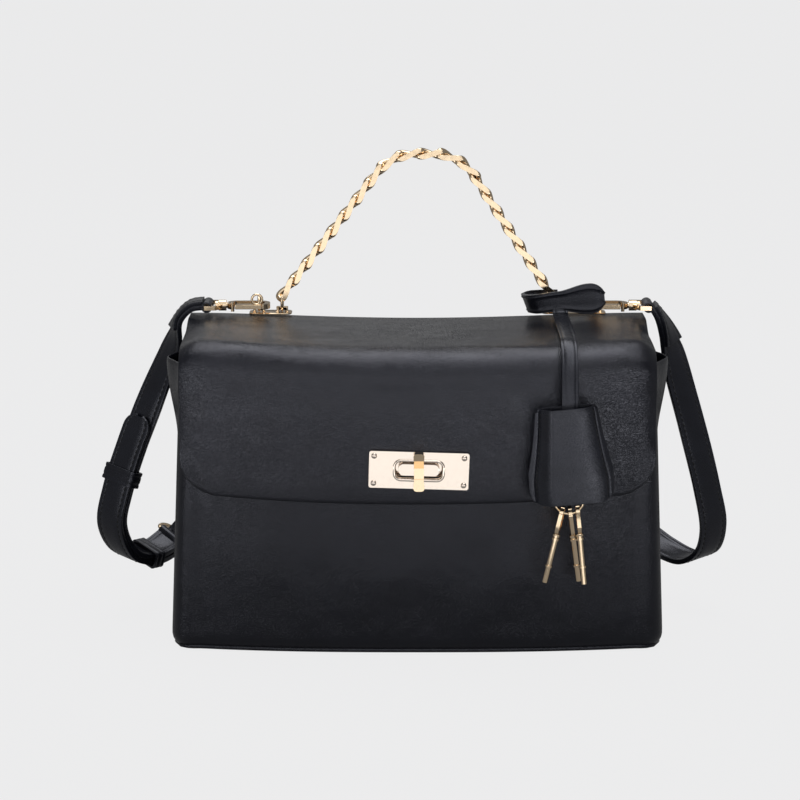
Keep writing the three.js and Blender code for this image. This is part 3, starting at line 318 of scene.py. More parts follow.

# %% [markdown]
# ## Helpers for sheets
# A leather panel starts as a flat grid, and each of its points is then moved to its place on the bag, as a
# pattern piece is pulled over a last. Solidify gives the sheet its thickness and one subdivision rounds its
# edges. Every finished piece takes its finish and hides the solids it stands for, and when a body is given
# it rides on that body.

# %% Helpers for sheets
def finish_piece(name, bm, finish, body=None, solids=()):
    mesh = bpy.data.meshes.new(name)
    bm.to_mesh(mesh)
    bm.free()
    mesh.polygons.foreach_set("use_smooth", [True] * len(mesh.polygons))
    mesh.materials.append(finish)
    piece = bpy.data.objects.new(name, mesh)
    scene.collection.objects.link(piece)
    if body:
        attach(piece, body)
    if solids:
        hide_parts(*solids)
    return piece or piece


def pulled_grid(columns, rows, place, closed=False):
    bm = bmesh.new()
    wide = len(columns) - 1
    long = len(rows) - 1
    bmesh.ops.create_grid(bm, x_segments=wide, y_segments=long, size=1)
    for v in bm.verts:
        column = columns[round((v.co.x + 1) / 2 * wide)]
        row = rows[round((v.co.y + 1) / 2 * long)]
        v.co = place(column, row) * MM
    if closed:
        bmesh.ops.remove_doubles(bm, verts=bm.verts, dist=1e-6)
        bmesh.ops.recalc_face_normals(bm, faces=bm.faces)
    return bm


def turn_outward(bm, centre):
    bm.normal_update()
    facing = sum(f.normal.dot(f.calc_center_median() - centre) * f.calc_area() for f in bm.faces)
    if facing < 0:
        bmesh.ops.reverse_faces(bm, faces=bm.faces)
    bm.normal_update()


def add_thickness(piece, thickness, offset=-1.0):
    """Full thickness is kept round bends on panels; strips are centred and need no such care."""
    solid = piece.modifiers.new("thickness", "SOLIDIFY")
    solid.thickness = thickness * MM
    solid.offset = offset
    solid.use_even_offset = offset < 0


def round_off(piece, levels=1):
    smooth = piece.modifiers.new("rounding", "SUBSURF")
    smooth.levels = levels
    smooth.render_levels = levels


def soften_edges(piece, width, segments=3):
    bevel = piece.modifiers.new("edges", "BEVEL")
    bevel.width = width * MM
    bevel.segments = segments
    bevel.limit_method = "ANGLE"
    bevel.angle_limit = math.radians(50)


def smooth_step(value, low, high):
    t = min(max((value - low) / (high - low), 0), 1)
    return t * t * (3 - 2 * t)


def mix(a, b, t):
    return a + (b - a) * t


def spread(low, high, count):
    return [mix(low, high, i / count) for i in range(count + 1)]


def waviness(x, y, z, length, amount):
    return amount * noise.noise(Vector((x, y, z)) / length)


# %% [markdown]
# ## Body shape
# The sizes of the body, in millimetres, are those of the frame. The front swells softly, the back a little
# less, and the lower edge is rounded all round. The top sags in the middle, where nothing holds the leather
# up.

# %% Body shape
HALF_WIDTH = 135
WIDTH_TAPER = 7
HALF_DEPTH = 46
CORNER_R = 10
BASE_EDGE_R = 9
FRONT_BULGE = 10
BACK_BULGE = 4
FRONT_TOP = 157.5
GUSSET_TOP = 158.5
SEAM_GAP = 1.4
WING_OUT = 9
PLEAT_IN = 5
HINGE_Y = 19.5
ROOF_Z = 173.5
CREST_DROP = 2
TOP_SAG = 3
TOP_REACH = 75
CREST_R = 17
FLAP_HALF_WIDTH = 127.5
FLAP_STAND = 6
FLAP_EDGE_Z = 86.5
FLAP_EDGE_LIFT = 4
FLAP_CORNER_R = 19
BODY_CENTRE = Vector((0, 0, 89)) * MM
LOW_ROWS = [1, 2, 3.5, 6, 9]
LOW_TOP = 14


def edge_in(z):
    if z >= BASE_EDGE_R:
        return 0
    return BASE_EDGE_R - math.sqrt(BASE_EDGE_R ** 2 - (BASE_EDGE_R - z) ** 2)


def half_width(z):
    return HALF_WIDTH - WIDTH_TAPER * (z / FRONT_TOP) - edge_in(z)


def half_depth(z):
    return HALF_DEPTH - edge_in(z)


def bulge(x, z, amount):
    reach = HALF_WIDTH - WIDTH_TAPER - CORNER_R
    across = 1 - min(abs(x) / reach, 1) ** 2.6
    rise = 0.7 + 0.3 * smooth_step(z, 0, 50)
    fade = 1 - 0.55 * smooth_step(z, 131, 175)
    return amount * across * rise * fade


def wall_point(share, z, side, amount):
    x = share * half_width(z)
    into = abs(x) - (half_width(z) - CORNER_R)
    y = half_depth(z) + bulge(x, z, amount)
    if into > 0:
        y = half_depth(z) - CORNER_R + math.sqrt(max(CORNER_R ** 2 - into ** 2, 0))
    return Vector((x, side * y, z))


def top_z(x, y):
    forward = max(HINGE_Y - y, 0) / TOP_REACH
    spread_out = (1 - (x / FLAP_HALF_WIDTH) ** 2) ** 2
    return ROOF_Z - CREST_DROP * forward ** 2 - TOP_SAG * spread_out


def front_of(x, z):
    return -(HALF_DEPTH + bulge(x, z, FRONT_BULGE) + FLAP_STAND)


def flap_edge(x, inset=0):
    wide = FLAP_HALF_WIDTH - inset
    s = abs(x) / wide
    straight = FLAP_EDGE_Z + inset + FLAP_EDGE_LIFT * s * s
    into = abs(x) - (wide - FLAP_CORNER_R)
    if into <= 0:
        return straight
    return straight + FLAP_CORNER_R - math.sqrt(max(FLAP_CORNER_R ** 2 - into ** 2, 0))


print("body:", 2 * HALF_WIDTH, "by", 2 * HALF_DEPTH, "by", ROOF_Z, "mm")

# %% [markdown]
# ## Shape of back, top and flap
# On the real bag one piece of leather rises up the back, turns over the top and falls down the front as the
# flap. It is one grid here too. Its columns crowd towards the sides, where the lower corners are rounded.
# Its rows climb the wall, follow the turn and the roof, and pass over the top and the crest to fall down
# the front. Near its edges the padded flap rolls in, most of all on the right.

# %% Shape of back, top and flap
FLAP_T = 2.6
BACK_TURN_R = 9
BACK_TURN_Y = HALF_DEPTH + 1
BACK_TOP = 159.5
LOCK_AT = Vector((0.5, -62, 106.5))
LOCK_TILT = math.radians(1.7)
LOCK_ROOM = (26, 60)
SIDE_ROLL = {-1: 3.2, 1: 4.6}
SIDE_ROLL_STARTS = (8, 34)
LOW_ROLL = 0.9
ROLL_WIDTH = 12
corner_columns = [1 - FLAP_CORNER_R / FLAP_HALF_WIDTH * (1 - math.sin(a)) for a in spread(0, math.pi / 2, 12)]
side_columns = corner_columns[1:]
middle_columns = spread(-corner_columns[0], corner_columns[0], 44)
flap_columns = [-c for c in reversed(side_columns)] + middle_columns + side_columns
top_rows = [("top", t) for t in spread(0, 1, 18)[1:]]
top_rows += [("crest", a) for a in spread(0, math.pi / 2, 8)[1:]]
top_rows += [("fall", t) for t in spread(0, 1, 24)[1:]]
flap_rows = [("wall", z) for z in LOW_ROWS + spread(LOW_TOP, BACK_TOP, 26)]
flap_rows += [("turn", a) for a in spread(0, math.pi / 2, 6)[1:]]
flap_rows += [("roof", y) for y in spread(BACK_TURN_Y - BACK_TURN_R, HINGE_Y, 7)[1:]]
flap_rows += top_rows


def edge_roll(x, z=None):
    """How far the flap turns in near its edge; without z, only the sides count."""
    into = Vector((max(FLAP_CORNER_R - FLAP_HALF_WIDTH + abs(x), 0), 0))
    if z is not None:
        low = FLAP_EDGE_Z + FLAP_EDGE_LIFT * (x / FLAP_HALF_WIDTH) ** 2
        into.y = max(FLAP_CORNER_R - (z - low), 0)
    sideways = into.x / max(into.length, 0.01)
    if z is not None:
        sideways *= smooth_step(z - low, *SIDE_ROLL_STARTS)
    depth = mix(LOW_ROLL, SIDE_ROLL[1 if x > 0 else -1], sideways ** 2)
    return depth * max(1 - (FLAP_CORNER_R - into.length) / ROLL_WIDTH, 0) ** 2


def flap_point(column, row, inset=0):
    zone, t = row
    x = column * (FLAP_HALF_WIDTH - inset)
    roll = edge_roll(x)
    if zone == "wall":
        return wall_point(column, t, 1, BACK_BULGE)
    if zone == "turn":
        rim = wall_point(column, BACK_TOP, 1, BACK_BULGE)
        over = smooth_step(t, 0, 1.2)
        y = BACK_TURN_Y - BACK_TURN_R + BACK_TURN_R * math.cos(t)
        top = top_z(x, HINGE_Y)
        return Vector((mix(rim.x, x, over), mix(rim.y, y, over), mix(rim.z, top, math.sin(t) ** 1.2)))
    if zone == "roof":
        return Vector((x, t, top_z(x, HINGE_Y)))
    bend_y = front_of(x, FRONT_TOP - 2) + CREST_R
    bend_z = top_z(x, bend_y) - CREST_R
    if zone == "top":
        y = mix(HINGE_Y, bend_y, t)
        drop = 1.4 * roll * smooth_step(t, 0, 0.4)
        return Vector((x, y, top_z(x, y) - drop + waviness(x, y, 0, 34, 0.7) * smooth_step(t, 0.1, 0.5)))
    if zone == "crest":
        swell = CREST_R + waviness(x, 60, 40 * t, 30, 0.6) - roll * (1 + 0.4 * math.cos(t))
        return Vector((x, bend_y - swell * math.sin(t), bend_z + swell * math.cos(t)))
    z = mix(bend_z, flap_edge(x, inset), t)
    clear = smooth_step(math.hypot(x - LOCK_AT.x, z - LOCK_AT.z), *LOCK_ROOM)
    return Vector((x, front_of(x, z) + edge_roll(x, z) + waviness(x, 60, z, 32, 0.8) * clear, z))


print("flap grid:", len(flap_columns), "columns,", len(flap_rows), "rows")

# %% [markdown]
# ## Back, top and flap
# The grid is pulled into shape, and a window is cut where the boss of the lock comes through: four planes
# slice the faces round it, and the faces inside are deleted. The one sheet stands for both the back panel
# and the flap.

# %% Back, top and flap
WINDOW = (13.4, 5.6)
WINDOW_REACH = 26
WINDOW_DEPTH = 20
lock_turn = Matrix.Rotation(LOCK_TILT, 3, "Y")


def cut_window(bm):
    for way, half in ((Vector((1, 0, 0)), WINDOW[0]), (Vector((0, 0, 1)), WINDOW[1])):
        for sign in (-1, 1):
            near = [f for f in bm.faces if (f.calc_center_median() / MM - LOCK_AT).length < WINDOW_REACH]
            parts = set(near) | {e for f in near for e in f.edges} | {v for f in near for v in f.verts}
            aside = lock_turn @ way * sign
            edge = (LOCK_AT + aside * half) * MM
            bmesh.ops.bisect_plane(bm, geom=list(parts), plane_co=edge, plane_no=aside)
    inside = []
    for f in bm.faces:
        off = lock_turn.inverted() @ (f.calc_center_median() / MM - LOCK_AT)
        if abs(off.x) < WINDOW[0] and abs(off.z) < WINDOW[1] and abs(off.y) < WINDOW_DEPTH:
            inside.append(f)
    bmesh.ops.delete(bm, geom=inside, context="FACES")


flap_bm = pulled_grid(flap_columns, flap_rows, flap_point)
turn_outward(flap_bm, BODY_CENTRE)
cut_window(flap_bm)
flap_piece = finish_piece("back_and_flap_leather", flap_bm, nappa, solids=("back_panel", "flap_leather"))
add_thickness(flap_piece, FLAP_T)
round_off(flap_piece)
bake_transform(flap_piece)
print("flap:", len(flap_piece.data.vertices), "points")

# %% [markdown]
# ## Flap lining
# The flap is lined with the same dark cloth as the bag. It is the flap's own grid, a little smaller and
# pushed inside. Cut flat, the cloth is a little larger than it lies, for the ease that is sewn in.

# %% Flap lining
LINING_INSET = 3
LINING_DEPTH = 3.3
LINING_EASE = (1.01, 1.03)
flap_cloth_bm = pulled_grid(flap_columns, top_rows, lambda c, row: flap_point(c, row, LINING_INSET))
turn_outward(flap_cloth_bm, BODY_CENTRE)
cut_window(flap_cloth_bm)
flap_cloth_bm.normal_update()
for v in flap_cloth_bm.verts:
    v.co -= v.normal * LINING_DEPTH * MM
flap_cloth_area = sum(f.calc_area() for f in flap_cloth_bm.faces)
flap_cloth = finish_piece("flap_lining_cloth", flap_cloth_bm, lining_cloth, "flap",
                          ["flap_lining"])
flap_cloth_width = 2 * (FLAP_HALF_WIDTH - LINING_INSET) * MM * LINING_EASE[0]
flap_cloth_flat = (flap_cloth_width, flap_cloth_area / flap_cloth_width * LINING_EASE[1])
flat_size = [round(c, 3) for c in flap_cloth_flat]
print("flap lining:", flat_size, "m flat,", round(flap_cloth_area, 4), "square metres")

# %% [markdown]
# ## Front panel
# The front is one panel that turns round both corners to the side seams. Only its lower half shows below
# the flap.

# %% Front panel
PANEL_T = 2
wall_rows = LOW_ROWS + spread(LOW_TOP, FRONT_TOP, 30)


def front_point(column, z):
    place = wall_point(column, z, -1, FRONT_BULGE)
    free = smooth_step(z, 4, 26) * smooth_step(1 - abs(column), 0.08, 0.2)
    place.y += waviness(place.x, 20, z, 30, 0.6) * free
    return place


front_bm = pulled_grid(flap_columns, wall_rows, front_point)
turn_outward(front_bm, BODY_CENTRE)
front_piece = finish_piece("front_leather", front_bm, nappa, "case", solids=["front_panel"])
add_thickness(front_piece, PANEL_T)
round_off(front_piece)
print("front panel:", len(front_piece.data.vertices), "points")

# %% [markdown]
# ## Gussets
# Each side is a narrow panel. Near the top its front half is pushed out like a small wing and its back half
# is folded in, which lets the bag flatten when it is empty. A thin cord of leather closes each upright
# seam.

# %% Gussets
GUSSET_T = 1.8
WING_FROM = 103
SEAM_R = 1.05
SEAM_ENDS = (1.2, FRONT_TOP - 0.6)
SEAMS = {"front_left": (-1, -1), "front_right": (1, -1), "back_left": (-1, 1), "back_right": (1, 1)}
gusset_rows = LOW_ROWS + spread(LOW_TOP, GUSSET_TOP, 30)
seam_rows = [(SEAM_ENDS[0], 0)] + [(z, SEAM_R) for z in spread(*SEAM_ENDS, 48)] + [(SEAM_ENDS[1], 0)]


def gusset_point(side, share, z):
    y = share * (half_depth(z) - CORNER_R - SEAM_GAP)
    wing = math.cos(min(max((y + 12) / 26, -1), 1) * math.pi / 2) ** 2
    pleat = math.cos(min(max((y - 24) / 12, -1), 1) * math.pi / 2) ** 2
    high = smooth_step(z, WING_FROM, GUSSET_TOP)
    return Vector((side * (half_width(z) + high * (WING_OUT * wing - PLEAT_IN * pleat)), y, z))


def seam_point(side, end, angle, row):
    z, radius = row
    x = side * (half_width(z) - SEAM_R) + radius * math.cos(angle)
    y = end * (half_depth(z) - CORNER_R - SEAM_GAP / 2) + radius * math.sin(angle)
    return Vector((x, y, z))


for word, side in (("left", -1), ("right", 1)):
    gusset_bm = pulled_grid(spread(-1, 1, 30), gusset_rows, lambda c, z: gusset_point(side, c, z))
    turn_outward(gusset_bm, BODY_CENTRE)
    gusset = finish_piece(f"gusset_{word}_leather", gusset_bm, nappa, "case", solids=[f"gusset_{word}"])
    add_thickness(gusset, GUSSET_T)
    round_off(gusset)
for word, (side, end) in SEAMS.items():
    seam_bm = pulled_grid(spread(0, 2 * math.pi, 10), seam_rows,
                          lambda a, row: seam_point(side, end, a, row), closed=True)
    finish_piece(f"side_seam_{word}", seam_bm, nappa, "case")
print("gussets: two panels, four seams")

# %% [markdown]
# ## Rounded copies
# Hard pieces are already the right shape. A copy of the solid, with its doubled corners merged, is enough:
# its sharp edges are bevelled so that they catch a line of light. The base takes the same treatment in
# leather. The keys are made a touch thinner, so that they pass each other, and the rings and other bent
# wires are smoothed all over.

# %% Rounded copies
def dressed(solid, finish, edge, segments=2, levels=0, shrink=0):
    bm = bmesh.new()
    bm.from_mesh(frame["nodes"][solid].data)
    bmesh.ops.remove_doubles(bm, verts=bm.verts, dist=1e-5)
    if shrink:
        bm.normal_update()
        for v in bm.verts:
            v.co -= v.normal * v.calc_shell_factor() * shrink * MM
    if not levels:
        bmesh.ops.dissolve_limit(bm, angle_limit=math.radians(1), verts=bm.verts, edges=bm.edges)
        sharp = [e for e in bm.edges if e.is_manifold and e.calc_face_angle() > math.radians(35)]
        rounded = bmesh.ops.bevel(bm, geom=sharp, offset=edge * MM, offset_type="OFFSET", segments=segments,
                                  profile=0.5, affect="EDGES", clamp_overlap=True, material=-1)
        new_faces = set(rounded["faces"])
        for e in bm.edges:
            turned = len(e.link_faces) == 2 and e.calc_face_angle() > math.radians(40)
            e.smooth = not turned and sum(f in new_faces for f in e.link_faces) != 1
    piece = finish_piece(solid + "_finished", bm, finish, frame["nodes"][solid]["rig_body"], [solid])
    if levels:
        round_off(piece, levels)


dressed("base_panel", nappa, 0.9, 3)
EDGE_OF = {"lock_plate": 0.35, "lock_plate_backing": 0.25, "lock_base": 0.5, "turn_knob": 0.45}
for word in ("left", "right"):
    EDGE_OF |= {f"ring_base_{word}": 0.4, f"hook_{word}": 0.7, f"gate_{word}": 0.3, f"swivel_{word}": 0.6}
for number in (1, 2, 3):
    EDGE_OF[f"key_{number}"] = 0.3
KEY_ROOM = 0.12
LOCK_PARTS = ("lock_plate", "lock_plate_backing", "lock_base")
for solid, edge in EDGE_OF.items():
    room = KEY_ROOM if solid.startswith("key") else 0
    dressed(solid, pale_gold if solid in LOCK_PARTS else warm_gold, edge, shrink=room)
BENT_WIRES = ("ring_left", "ring_right", "chain_end_left", "chain_end_right", "buckle_frame", "buckle_prong",
              "key_ring")
for solid in BENT_WIRES:
    dressed(solid, warm_gold, 0, levels=2)
print("rounded copies:", 1 + len(EDGE_OF) + len(BENT_WIRES))

# %% [markdown]
# ## Lock details
# A raised lip runs round the slot of the plate, and the boss in the slot stands a little lower. The lip is
# a thin round rod bent along a rounded rectangle. Four rivets with domed heads hold the plate.

# %% Lock details
def rounded_rectangle(half_w, half_h, radius, steps=6):
    points = []
    for k, (sx, sz) in enumerate(((1, 1), (-1, 1), (-1, -1), (1, -1))):
        x = sx * (half_w - radius)
        z = sz * (half_h - radius)
        for a in spread(k * math.pi / 2, (k + 1) * math.pi / 2, steps):
            points.append((x + radius * math.cos(a), z + radius * math.sin(a)))
    return points


def rod_round(points, radius, sides, flat):
    """A round rod along a closed line; flat gives the direction that stays across it."""
    count = len(points)
    angles = spread(0, 2 * math.pi, sides)

    def place(angle, i):
        along = (points[(i + 1) % count] - points[(i - 1) % count]).normalized()
        across = flat - along * flat.dot(along)
        across.normalize()
        return points[i % count] + (across * math.cos(angle) + along.cross(across) * math.sin(angle)) * radius

    return pulled_grid(angles, list(range(count + 1)), place, closed=True)


LIP_Y = -64.8
LIP_HALF = (13.1, 5.3)
LIP_CORNER = 3.6
LIP_R = 0.75
RIVET_AT = (23.9, 7.4)
RIVET_DOME = Vector((1.55, 1.1, 1.55))
lock_face = Vector((LOCK_AT.x, LIP_Y, LOCK_AT.z))
lip_line = [lock_turn @ Vector((x, 0, z)) + lock_face for x, z in rounded_rectangle(*LIP_HALF, LIP_CORNER)]
lip_bm = rod_round(lip_line, LIP_R, 10, Vector((0, 1, 0)))
finish_piece("lock_lip", lip_bm, pale_gold, "flap")
rivet_bm = bmesh.new()
for sx, sz in ((-1, -1), (1, -1), (1, 1), (-1, 1)):
    where = lock_turn @ Vector((sx * RIVET_AT[0], 0, sz * RIVET_AT[1])) + lock_face
    shape = Matrix.Translation(where * MM) @ Matrix.Diagonal((*(RIVET_DOME * MM), 1))
    bmesh.ops.create_uvsphere(rivet_bm, u_segments=20, v_segments=12, radius=1, matrix=shape)
finish_piece("lock_rivets", rivet_bm, pale_gold, "flap")
print("lock: lip of", len(lip_line), "points and four rivets")

# %% [markdown]
# ## Chain handle
# Each link is a blunt oval whose ends are turned against each other, so that it lies edge-on and the next
# one passes through it. Filing the chain front and back leaves a slanting leaf-shaped facet on every link.

# %% Chain handle
CHAIN_Y = 38.5
CHAIN_START = Vector((-76, 0, 183.2))
CHAIN_PEAKS = [Vector((-14, 0, 263)), Vector((24, 0, 263))]
CHAIN_BEND_R = 30
LINK_COUNT = 20
LINK_A = 7.4
LINK_B = 3.1
LINK_WIRE_R = 1.5
LINK_TURN = math.radians(53)
LINK_FACET = 3.0
LINK_SEAM = 0.09
LINK_BLUNT = 2.8
FIRST_STEP = 5.15


def blunt(value):
    return math.copysign(abs(value) ** (2 / LINK_BLUNT), value)


def link_centre(phi):
    x = blunt(math.cos(phi))
    psi = math.pi / 2 - LINK_TURN * x
    r = LINK_B * blunt(math.sin(phi))
    return Vector((LINK_A * x, r * math.cos(psi), r * math.sin(psi)))


def link_point(angle, phi):
    p = link_centre(phi)
    along = (link_centre(phi + 0.06) - link_centre(phi - 0.06)).normalized()
    out = (p - along * p.dot(along)).normalized()
    q = p + (out * math.cos(angle) + along.cross(out) * math.sin(angle)) * LINK_WIRE_R
    q.z = min(max(q.z, -LINK_FACET), LINK_FACET)
    return q


def chain_line():
    corners = [CHAIN_START, *CHAIN_PEAKS, Vector((-CHAIN_START.x, 0, CHAIN_START.z))]
    line = [corners[0]]
    for a, b, c in zip(corners, corners[1:], corners[2:]):
        setback = CHAIN_BEND_R * math.tan((b - a).angle(c - b) / 2)
        start = b - (b - a).normalized() * setback
        end = b + (c - b).normalized() * setback
        line += [start.lerp(b, t).lerp(b.lerp(end, t), t) for t in spread(0, 1, 16)]
    return line + [corners[-1]]


def at_distance(line, distance):
    for a, b in zip(line, line[1:]):
        step = (b - a).length
        if distance <= step or b is line[-1]:
            return a.lerp(b, distance / step)
        distance -= step


link_rows = spread(LINK_SEAM, 2 * math.pi + LINK_SEAM, 56)
link_bm = pulled_grid(spread(0, 2 * math.pi, 24), link_rows, link_point, closed=True)
filed = {f for f in link_bm.faces if all(abs(v.co.z) > (LINK_FACET - 0.01) * MM for v in f.verts)}
for e in link_bm.edges:
    e.smooth = sum(f in filed for f in e.link_faces) != 1
link_mesh = bpy.data.meshes.new("link")
link_bm.to_mesh(link_mesh)
link_bm.free()
chain = chain_line()
chain_length = sum((b - a).length for a, b in zip(chain, chain[1:]))
pitch = (chain_length - 2 * FIRST_STEP) / (LINK_COUNT - 1)
for i in range(LINK_COUNT):
    middle = FIRST_STEP + i * pitch
    before = at_distance(chain, max(middle - pitch / 2, 0))
    after = at_distance(chain, min(middle + pitch / 2, chain_length))
    along = (after - before).normalized()
    to_front = Vector((0, -1, 0))
    place = Matrix((along, to_front.cross(along), to_front)).transposed().to_4x4()
    place.translation = (at_distance(chain, middle) + Vector((0, CHAIN_Y, 0))) * MM
    bm = bmesh.new()
    bm.from_mesh(link_mesh)
    bmesh.ops.transform(bm, matrix=place, verts=bm.verts)
    finish_piece(f"curb_link_{i + 1:02d}", bm, warm_gold, "handle", [f"chain_link_{i + 1:02d}"])
print("chain:", LINK_COUNT, "links, pitch", round(pitch, 2), "mm")

# %% [markdown]
# ## Strips
# Straps are flat strips that follow a smooth line through a few points. Every point also says which way the
# width of the strap lies there. A strip is swollen a little in its middle and pressed in along both rows of
# stitches.

# %% Strips
def spline(points, t):
    last = len(points) - 1
    i = min(int(t * last), last - 1)
    w = t * last - i
    p1, p2 = points[i], points[i + 1]
    p0 = points[i - 1] if i > 0 else 2 * p1 - p2
    p3 = points[i + 2] if i + 2 <= last else 2 * p2 - p1
    d0, d1, d2 = (math.sqrt((b - a).length) or 1 for a, b in ((p0, p1), (p1, p2), (p2, p3)))
    m1 = ((p1 - p0) / d0 - (p2 - p0) / (d0 + d1) + (p2 - p1) / d1) * d1
    m2 = ((p2 - p1) / d1 - (p3 - p1) / (d1 + d2) + (p3 - p2) / d2) * d1
    return p1 + m1 * w + (3 * (p2 - p1) - 2 * m1 - m2) * w ** 2 + (2 * (p1 - p2) + m1 + m2) * w ** 3


class Station:
    def __init__(self, at, along, across, outer, width=1.0):
        self.at = at
        self.across = (across - along * across.dot(along)).normalized()
        self.out = along.cross(self.across) * outer
        self.width = width
        self.outer = outer

    def moved(self, lift, ahead=0.0, width=None):
        along = self.across.cross(self.out) * self.outer
        at = self.at + self.out * lift + along * ahead
        return Station(at, along, self.across, self.outer, width or self.width)


def route(pairs, steps, outer=1):
    centre = [Vector(p) for p, w in pairs]
    width = [Vector(w) for p, w in pairs]
    stations = []
    for t in spread(0, 1, steps):
        along = spline(centre, min(t + 1e-4, 1)) - spline(centre, max(t - 1e-4, 0))
        stations.append(Station(spline(centre, t), along.normalized(), spline(width, t), outer))
    return stations


STITCH_AT = 0.72
strip_side = [0.3, 0.6, 0.68, STITCH_AT, 0.76, 0.82, 0.92, 1]
strip_columns = [-c for c in reversed(strip_side)] + [0] + strip_side


def strip(name, stations, width, thickness, body, solids=(), crown=0.4, groove=0.4):
    def place(c, s):
        rise = crown * (1 - c ** 4) - groove * math.exp(-((abs(c) - STITCH_AT) / 0.05) ** 2)
        return s.at + s.across * (c * width / 2 * s.width) + s.out * rise

    bm = pulled_grid(strip_columns, stations, place)
    piece = finish_piece(name, bm, strap_hide, body, solids)
    add_thickness(piece, thickness, 0)
    soften_edges(piece, 0.7)
    return piece


# %% [markdown]
# ## Stitches and sleeves
# A row of stitches is one fine thread that dips into the leather at the end of each stitch, so every fourth
# point of its line lies low. A sleeve is the short round eye that a strap makes where it turns back over a
# bar.

# %% Stitches and sleeves
STITCH_DIPS = (-0.75, 0.05, 0.16, 0.05)
SLEEVE_T = 1.1


def stitches(name, line, body, pitch=3.2, thread=0.33):
    """A row of stitches along a line of (point, outward, sideways)."""
    rows = []
    distance = 0.0
    for (p, out, aside), (q, *_) in zip(line, line[1:]):
        step = (q - p).length
        while distance < step:
            rows.append((p.lerp(q, distance / step), out, aside))
            distance += pitch / len(STITCH_DIPS)
        distance -= step

    def place(angle, i):
        p, out, aside = rows[i]
        dip = STITCH_DIPS[i % len(STITCH_DIPS)]
        return p + out * (dip + thread * math.cos(angle)) + aside * thread * math.sin(angle)

    bm = pulled_grid(spread(0, 2 * math.pi, 6), list(range(len(rows))), place, closed=True)
    finish_piece(name, bm, black_thread, body)


def edge_stitches(name, stations, width, thickness, body):
    for word, c in (("a", -STITCH_AT), ("b", STITCH_AT)):
        line = []
        for s in stations:
            at = s.at + s.across * (c * width / 2 * s.width) + s.out * thickness / 2
            line.append((at, s.out, s.across))
        stitches(f"{name}_{word}", line, body)


def sleeve(name, at, axis, radius, length, body):
    bm = bmesh.new()
    turn = axis.to_track_quat("Z", "Y").to_matrix().to_4x4()
    bmesh.ops.create_cone(bm, cap_ends=False, segments=28, radius1=radius * MM, radius2=radius * MM,
                          depth=length * MM, matrix=Matrix.Translation(at * MM) @ turn)
    piece = finish_piece(name, bm, strap_hide, body)
    add_thickness(piece, SLEEVE_T)
    soften_edges(piece, 0.4)


# %% [markdown]
# ## Shoulder strap
# A short part hangs from the left clip and carries the buckle. The long part comes from the right clip,
# lies behind the bag, passes through the buckle and doubles back up the outside of the short part to a
# rounded tip. Each point of a route gives a place and the direction of the strap's width there.

# %% Shoulder strap
STRAP_WIDTH = 17
STRAP_T = 2.8
HOOK_Y = 32.25
HOOK_Z = 178.65
LEFT_ROUTE = [
    ((-118.8, HOOK_Y, HOOK_Z), (0, 1, 0)), ((-126.4, HOOK_Y, 177.3), (-0.03, 1, 0)),
    ((-133, 32, 170.6), (-0.08, 1, 0)), ((-138, 31, 155), (-0.62, 0.78, 0)),
    ((-150, 29, 125.5), (-0.86, 0.5, 0)), ((-160, 26, 99.5), (-0.86, 0.5, 0)),
    ((-168.5, 23, 73.5), (-0.86, 0.5, 0)), ((-172, 24, 54), (-0.84, 0.54, 0)),
    ((-165.5, 31, 37.5), (-0.76, 0.64, 0.1)), ((-154, 44, 33), (-0.64, 0.7, 0.3)),
    ((-143, 57, 37), (-0.5, 0.68, 0.54)),
]
LONG_ROUTE = [
    ((130.8, HOOK_Y, HOOK_Z), (0, 1, 0)), ((135, 32.2, 173), (0.12, 1, 0)),
    ((139.8, 32, 164), (0.4, 0.92, 0)), ((144, 31.5, 152.5), (0.7, 0.71, 0)),
    ((148, 30, 137), (0.84, 0.54, 0)), ((155, 27, 112), (0.86, 0.5, 0)),
    ((164.5, 24, 75), (0.86, 0.5, 0)), ((168.6, 24, 52), (0.86, 0.5, 0)),
    ((166, 29, 37), (0.82, 0.57, 0)), ((157.5, 39, 30), (0.72, 0.68, 0.16)),
    ((145, 53, 32), (0.56, 0.72, 0.4)), ((132, 66, 38), (0.42, 0.64, 0.64)),
    ((112, 76, 46), (0.2, 0.5, 0.85)), ((70, 85, 56), (0.08, 0.38, 0.92)),
    ((0, 88, 61), (0, 0.34, 0.94)), ((-70, 85, 57), (-0.08, 0.38, 0.92)),
    ((-112, 77, 50), (-0.2, 0.5, 0.85)), ((-132, 67, 43), (-0.36, 0.6, 0.72)),
]
TAIL_TOP = 110.5
TAIL_GAP = 3.4
BUCKLE_LIFT = 4.9
TIP = [(2, 0.985), (3.6, 0.93), (5.1, 0.84), (6.3, 0.7), (7.1, 0.52), (7.5, 0.3)]
short_stations = route(LEFT_ROUTE, 92, -1)
long_stations = route(LONG_ROUTE, 168, 1)
buckle_at = short_stations[-1]
tail = []
for i, s in enumerate(reversed(short_stations)):
    if s.at.z <= TAIL_TOP:
        tail.append(s.moved(mix(BUCKLE_LIFT, TAIL_GAP, smooth_step(i, 2, 12))))
tail = [Station(s.at, s.across.cross(s.out), s.across, 1) for s in tail]
tail += [tail[-1].moved(0, ahead, width) for ahead, width in TIP]
joint_line = [long_stations[-2].at, long_stations[-1].at, tail[0].moved(0, -7).at, tail[0].at]
bridge = []
for t in (0.4, 0.5, 0.6, 0.7, 0.8, 0.9):
    along = (spline(joint_line, t + 1e-4) - spline(joint_line, t - 1e-4)).normalized()
    across = long_stations[-1].across.lerp(buckle_at.across, (t - 1 / 3) * 1.5)
    bridge.append(Station(spline(joint_line, t), along, across, 1))
long_all = long_stations + bridge + tail
long_length = sum((b.at - a.at).length for a, b in zip(long_all, long_all[1:]))
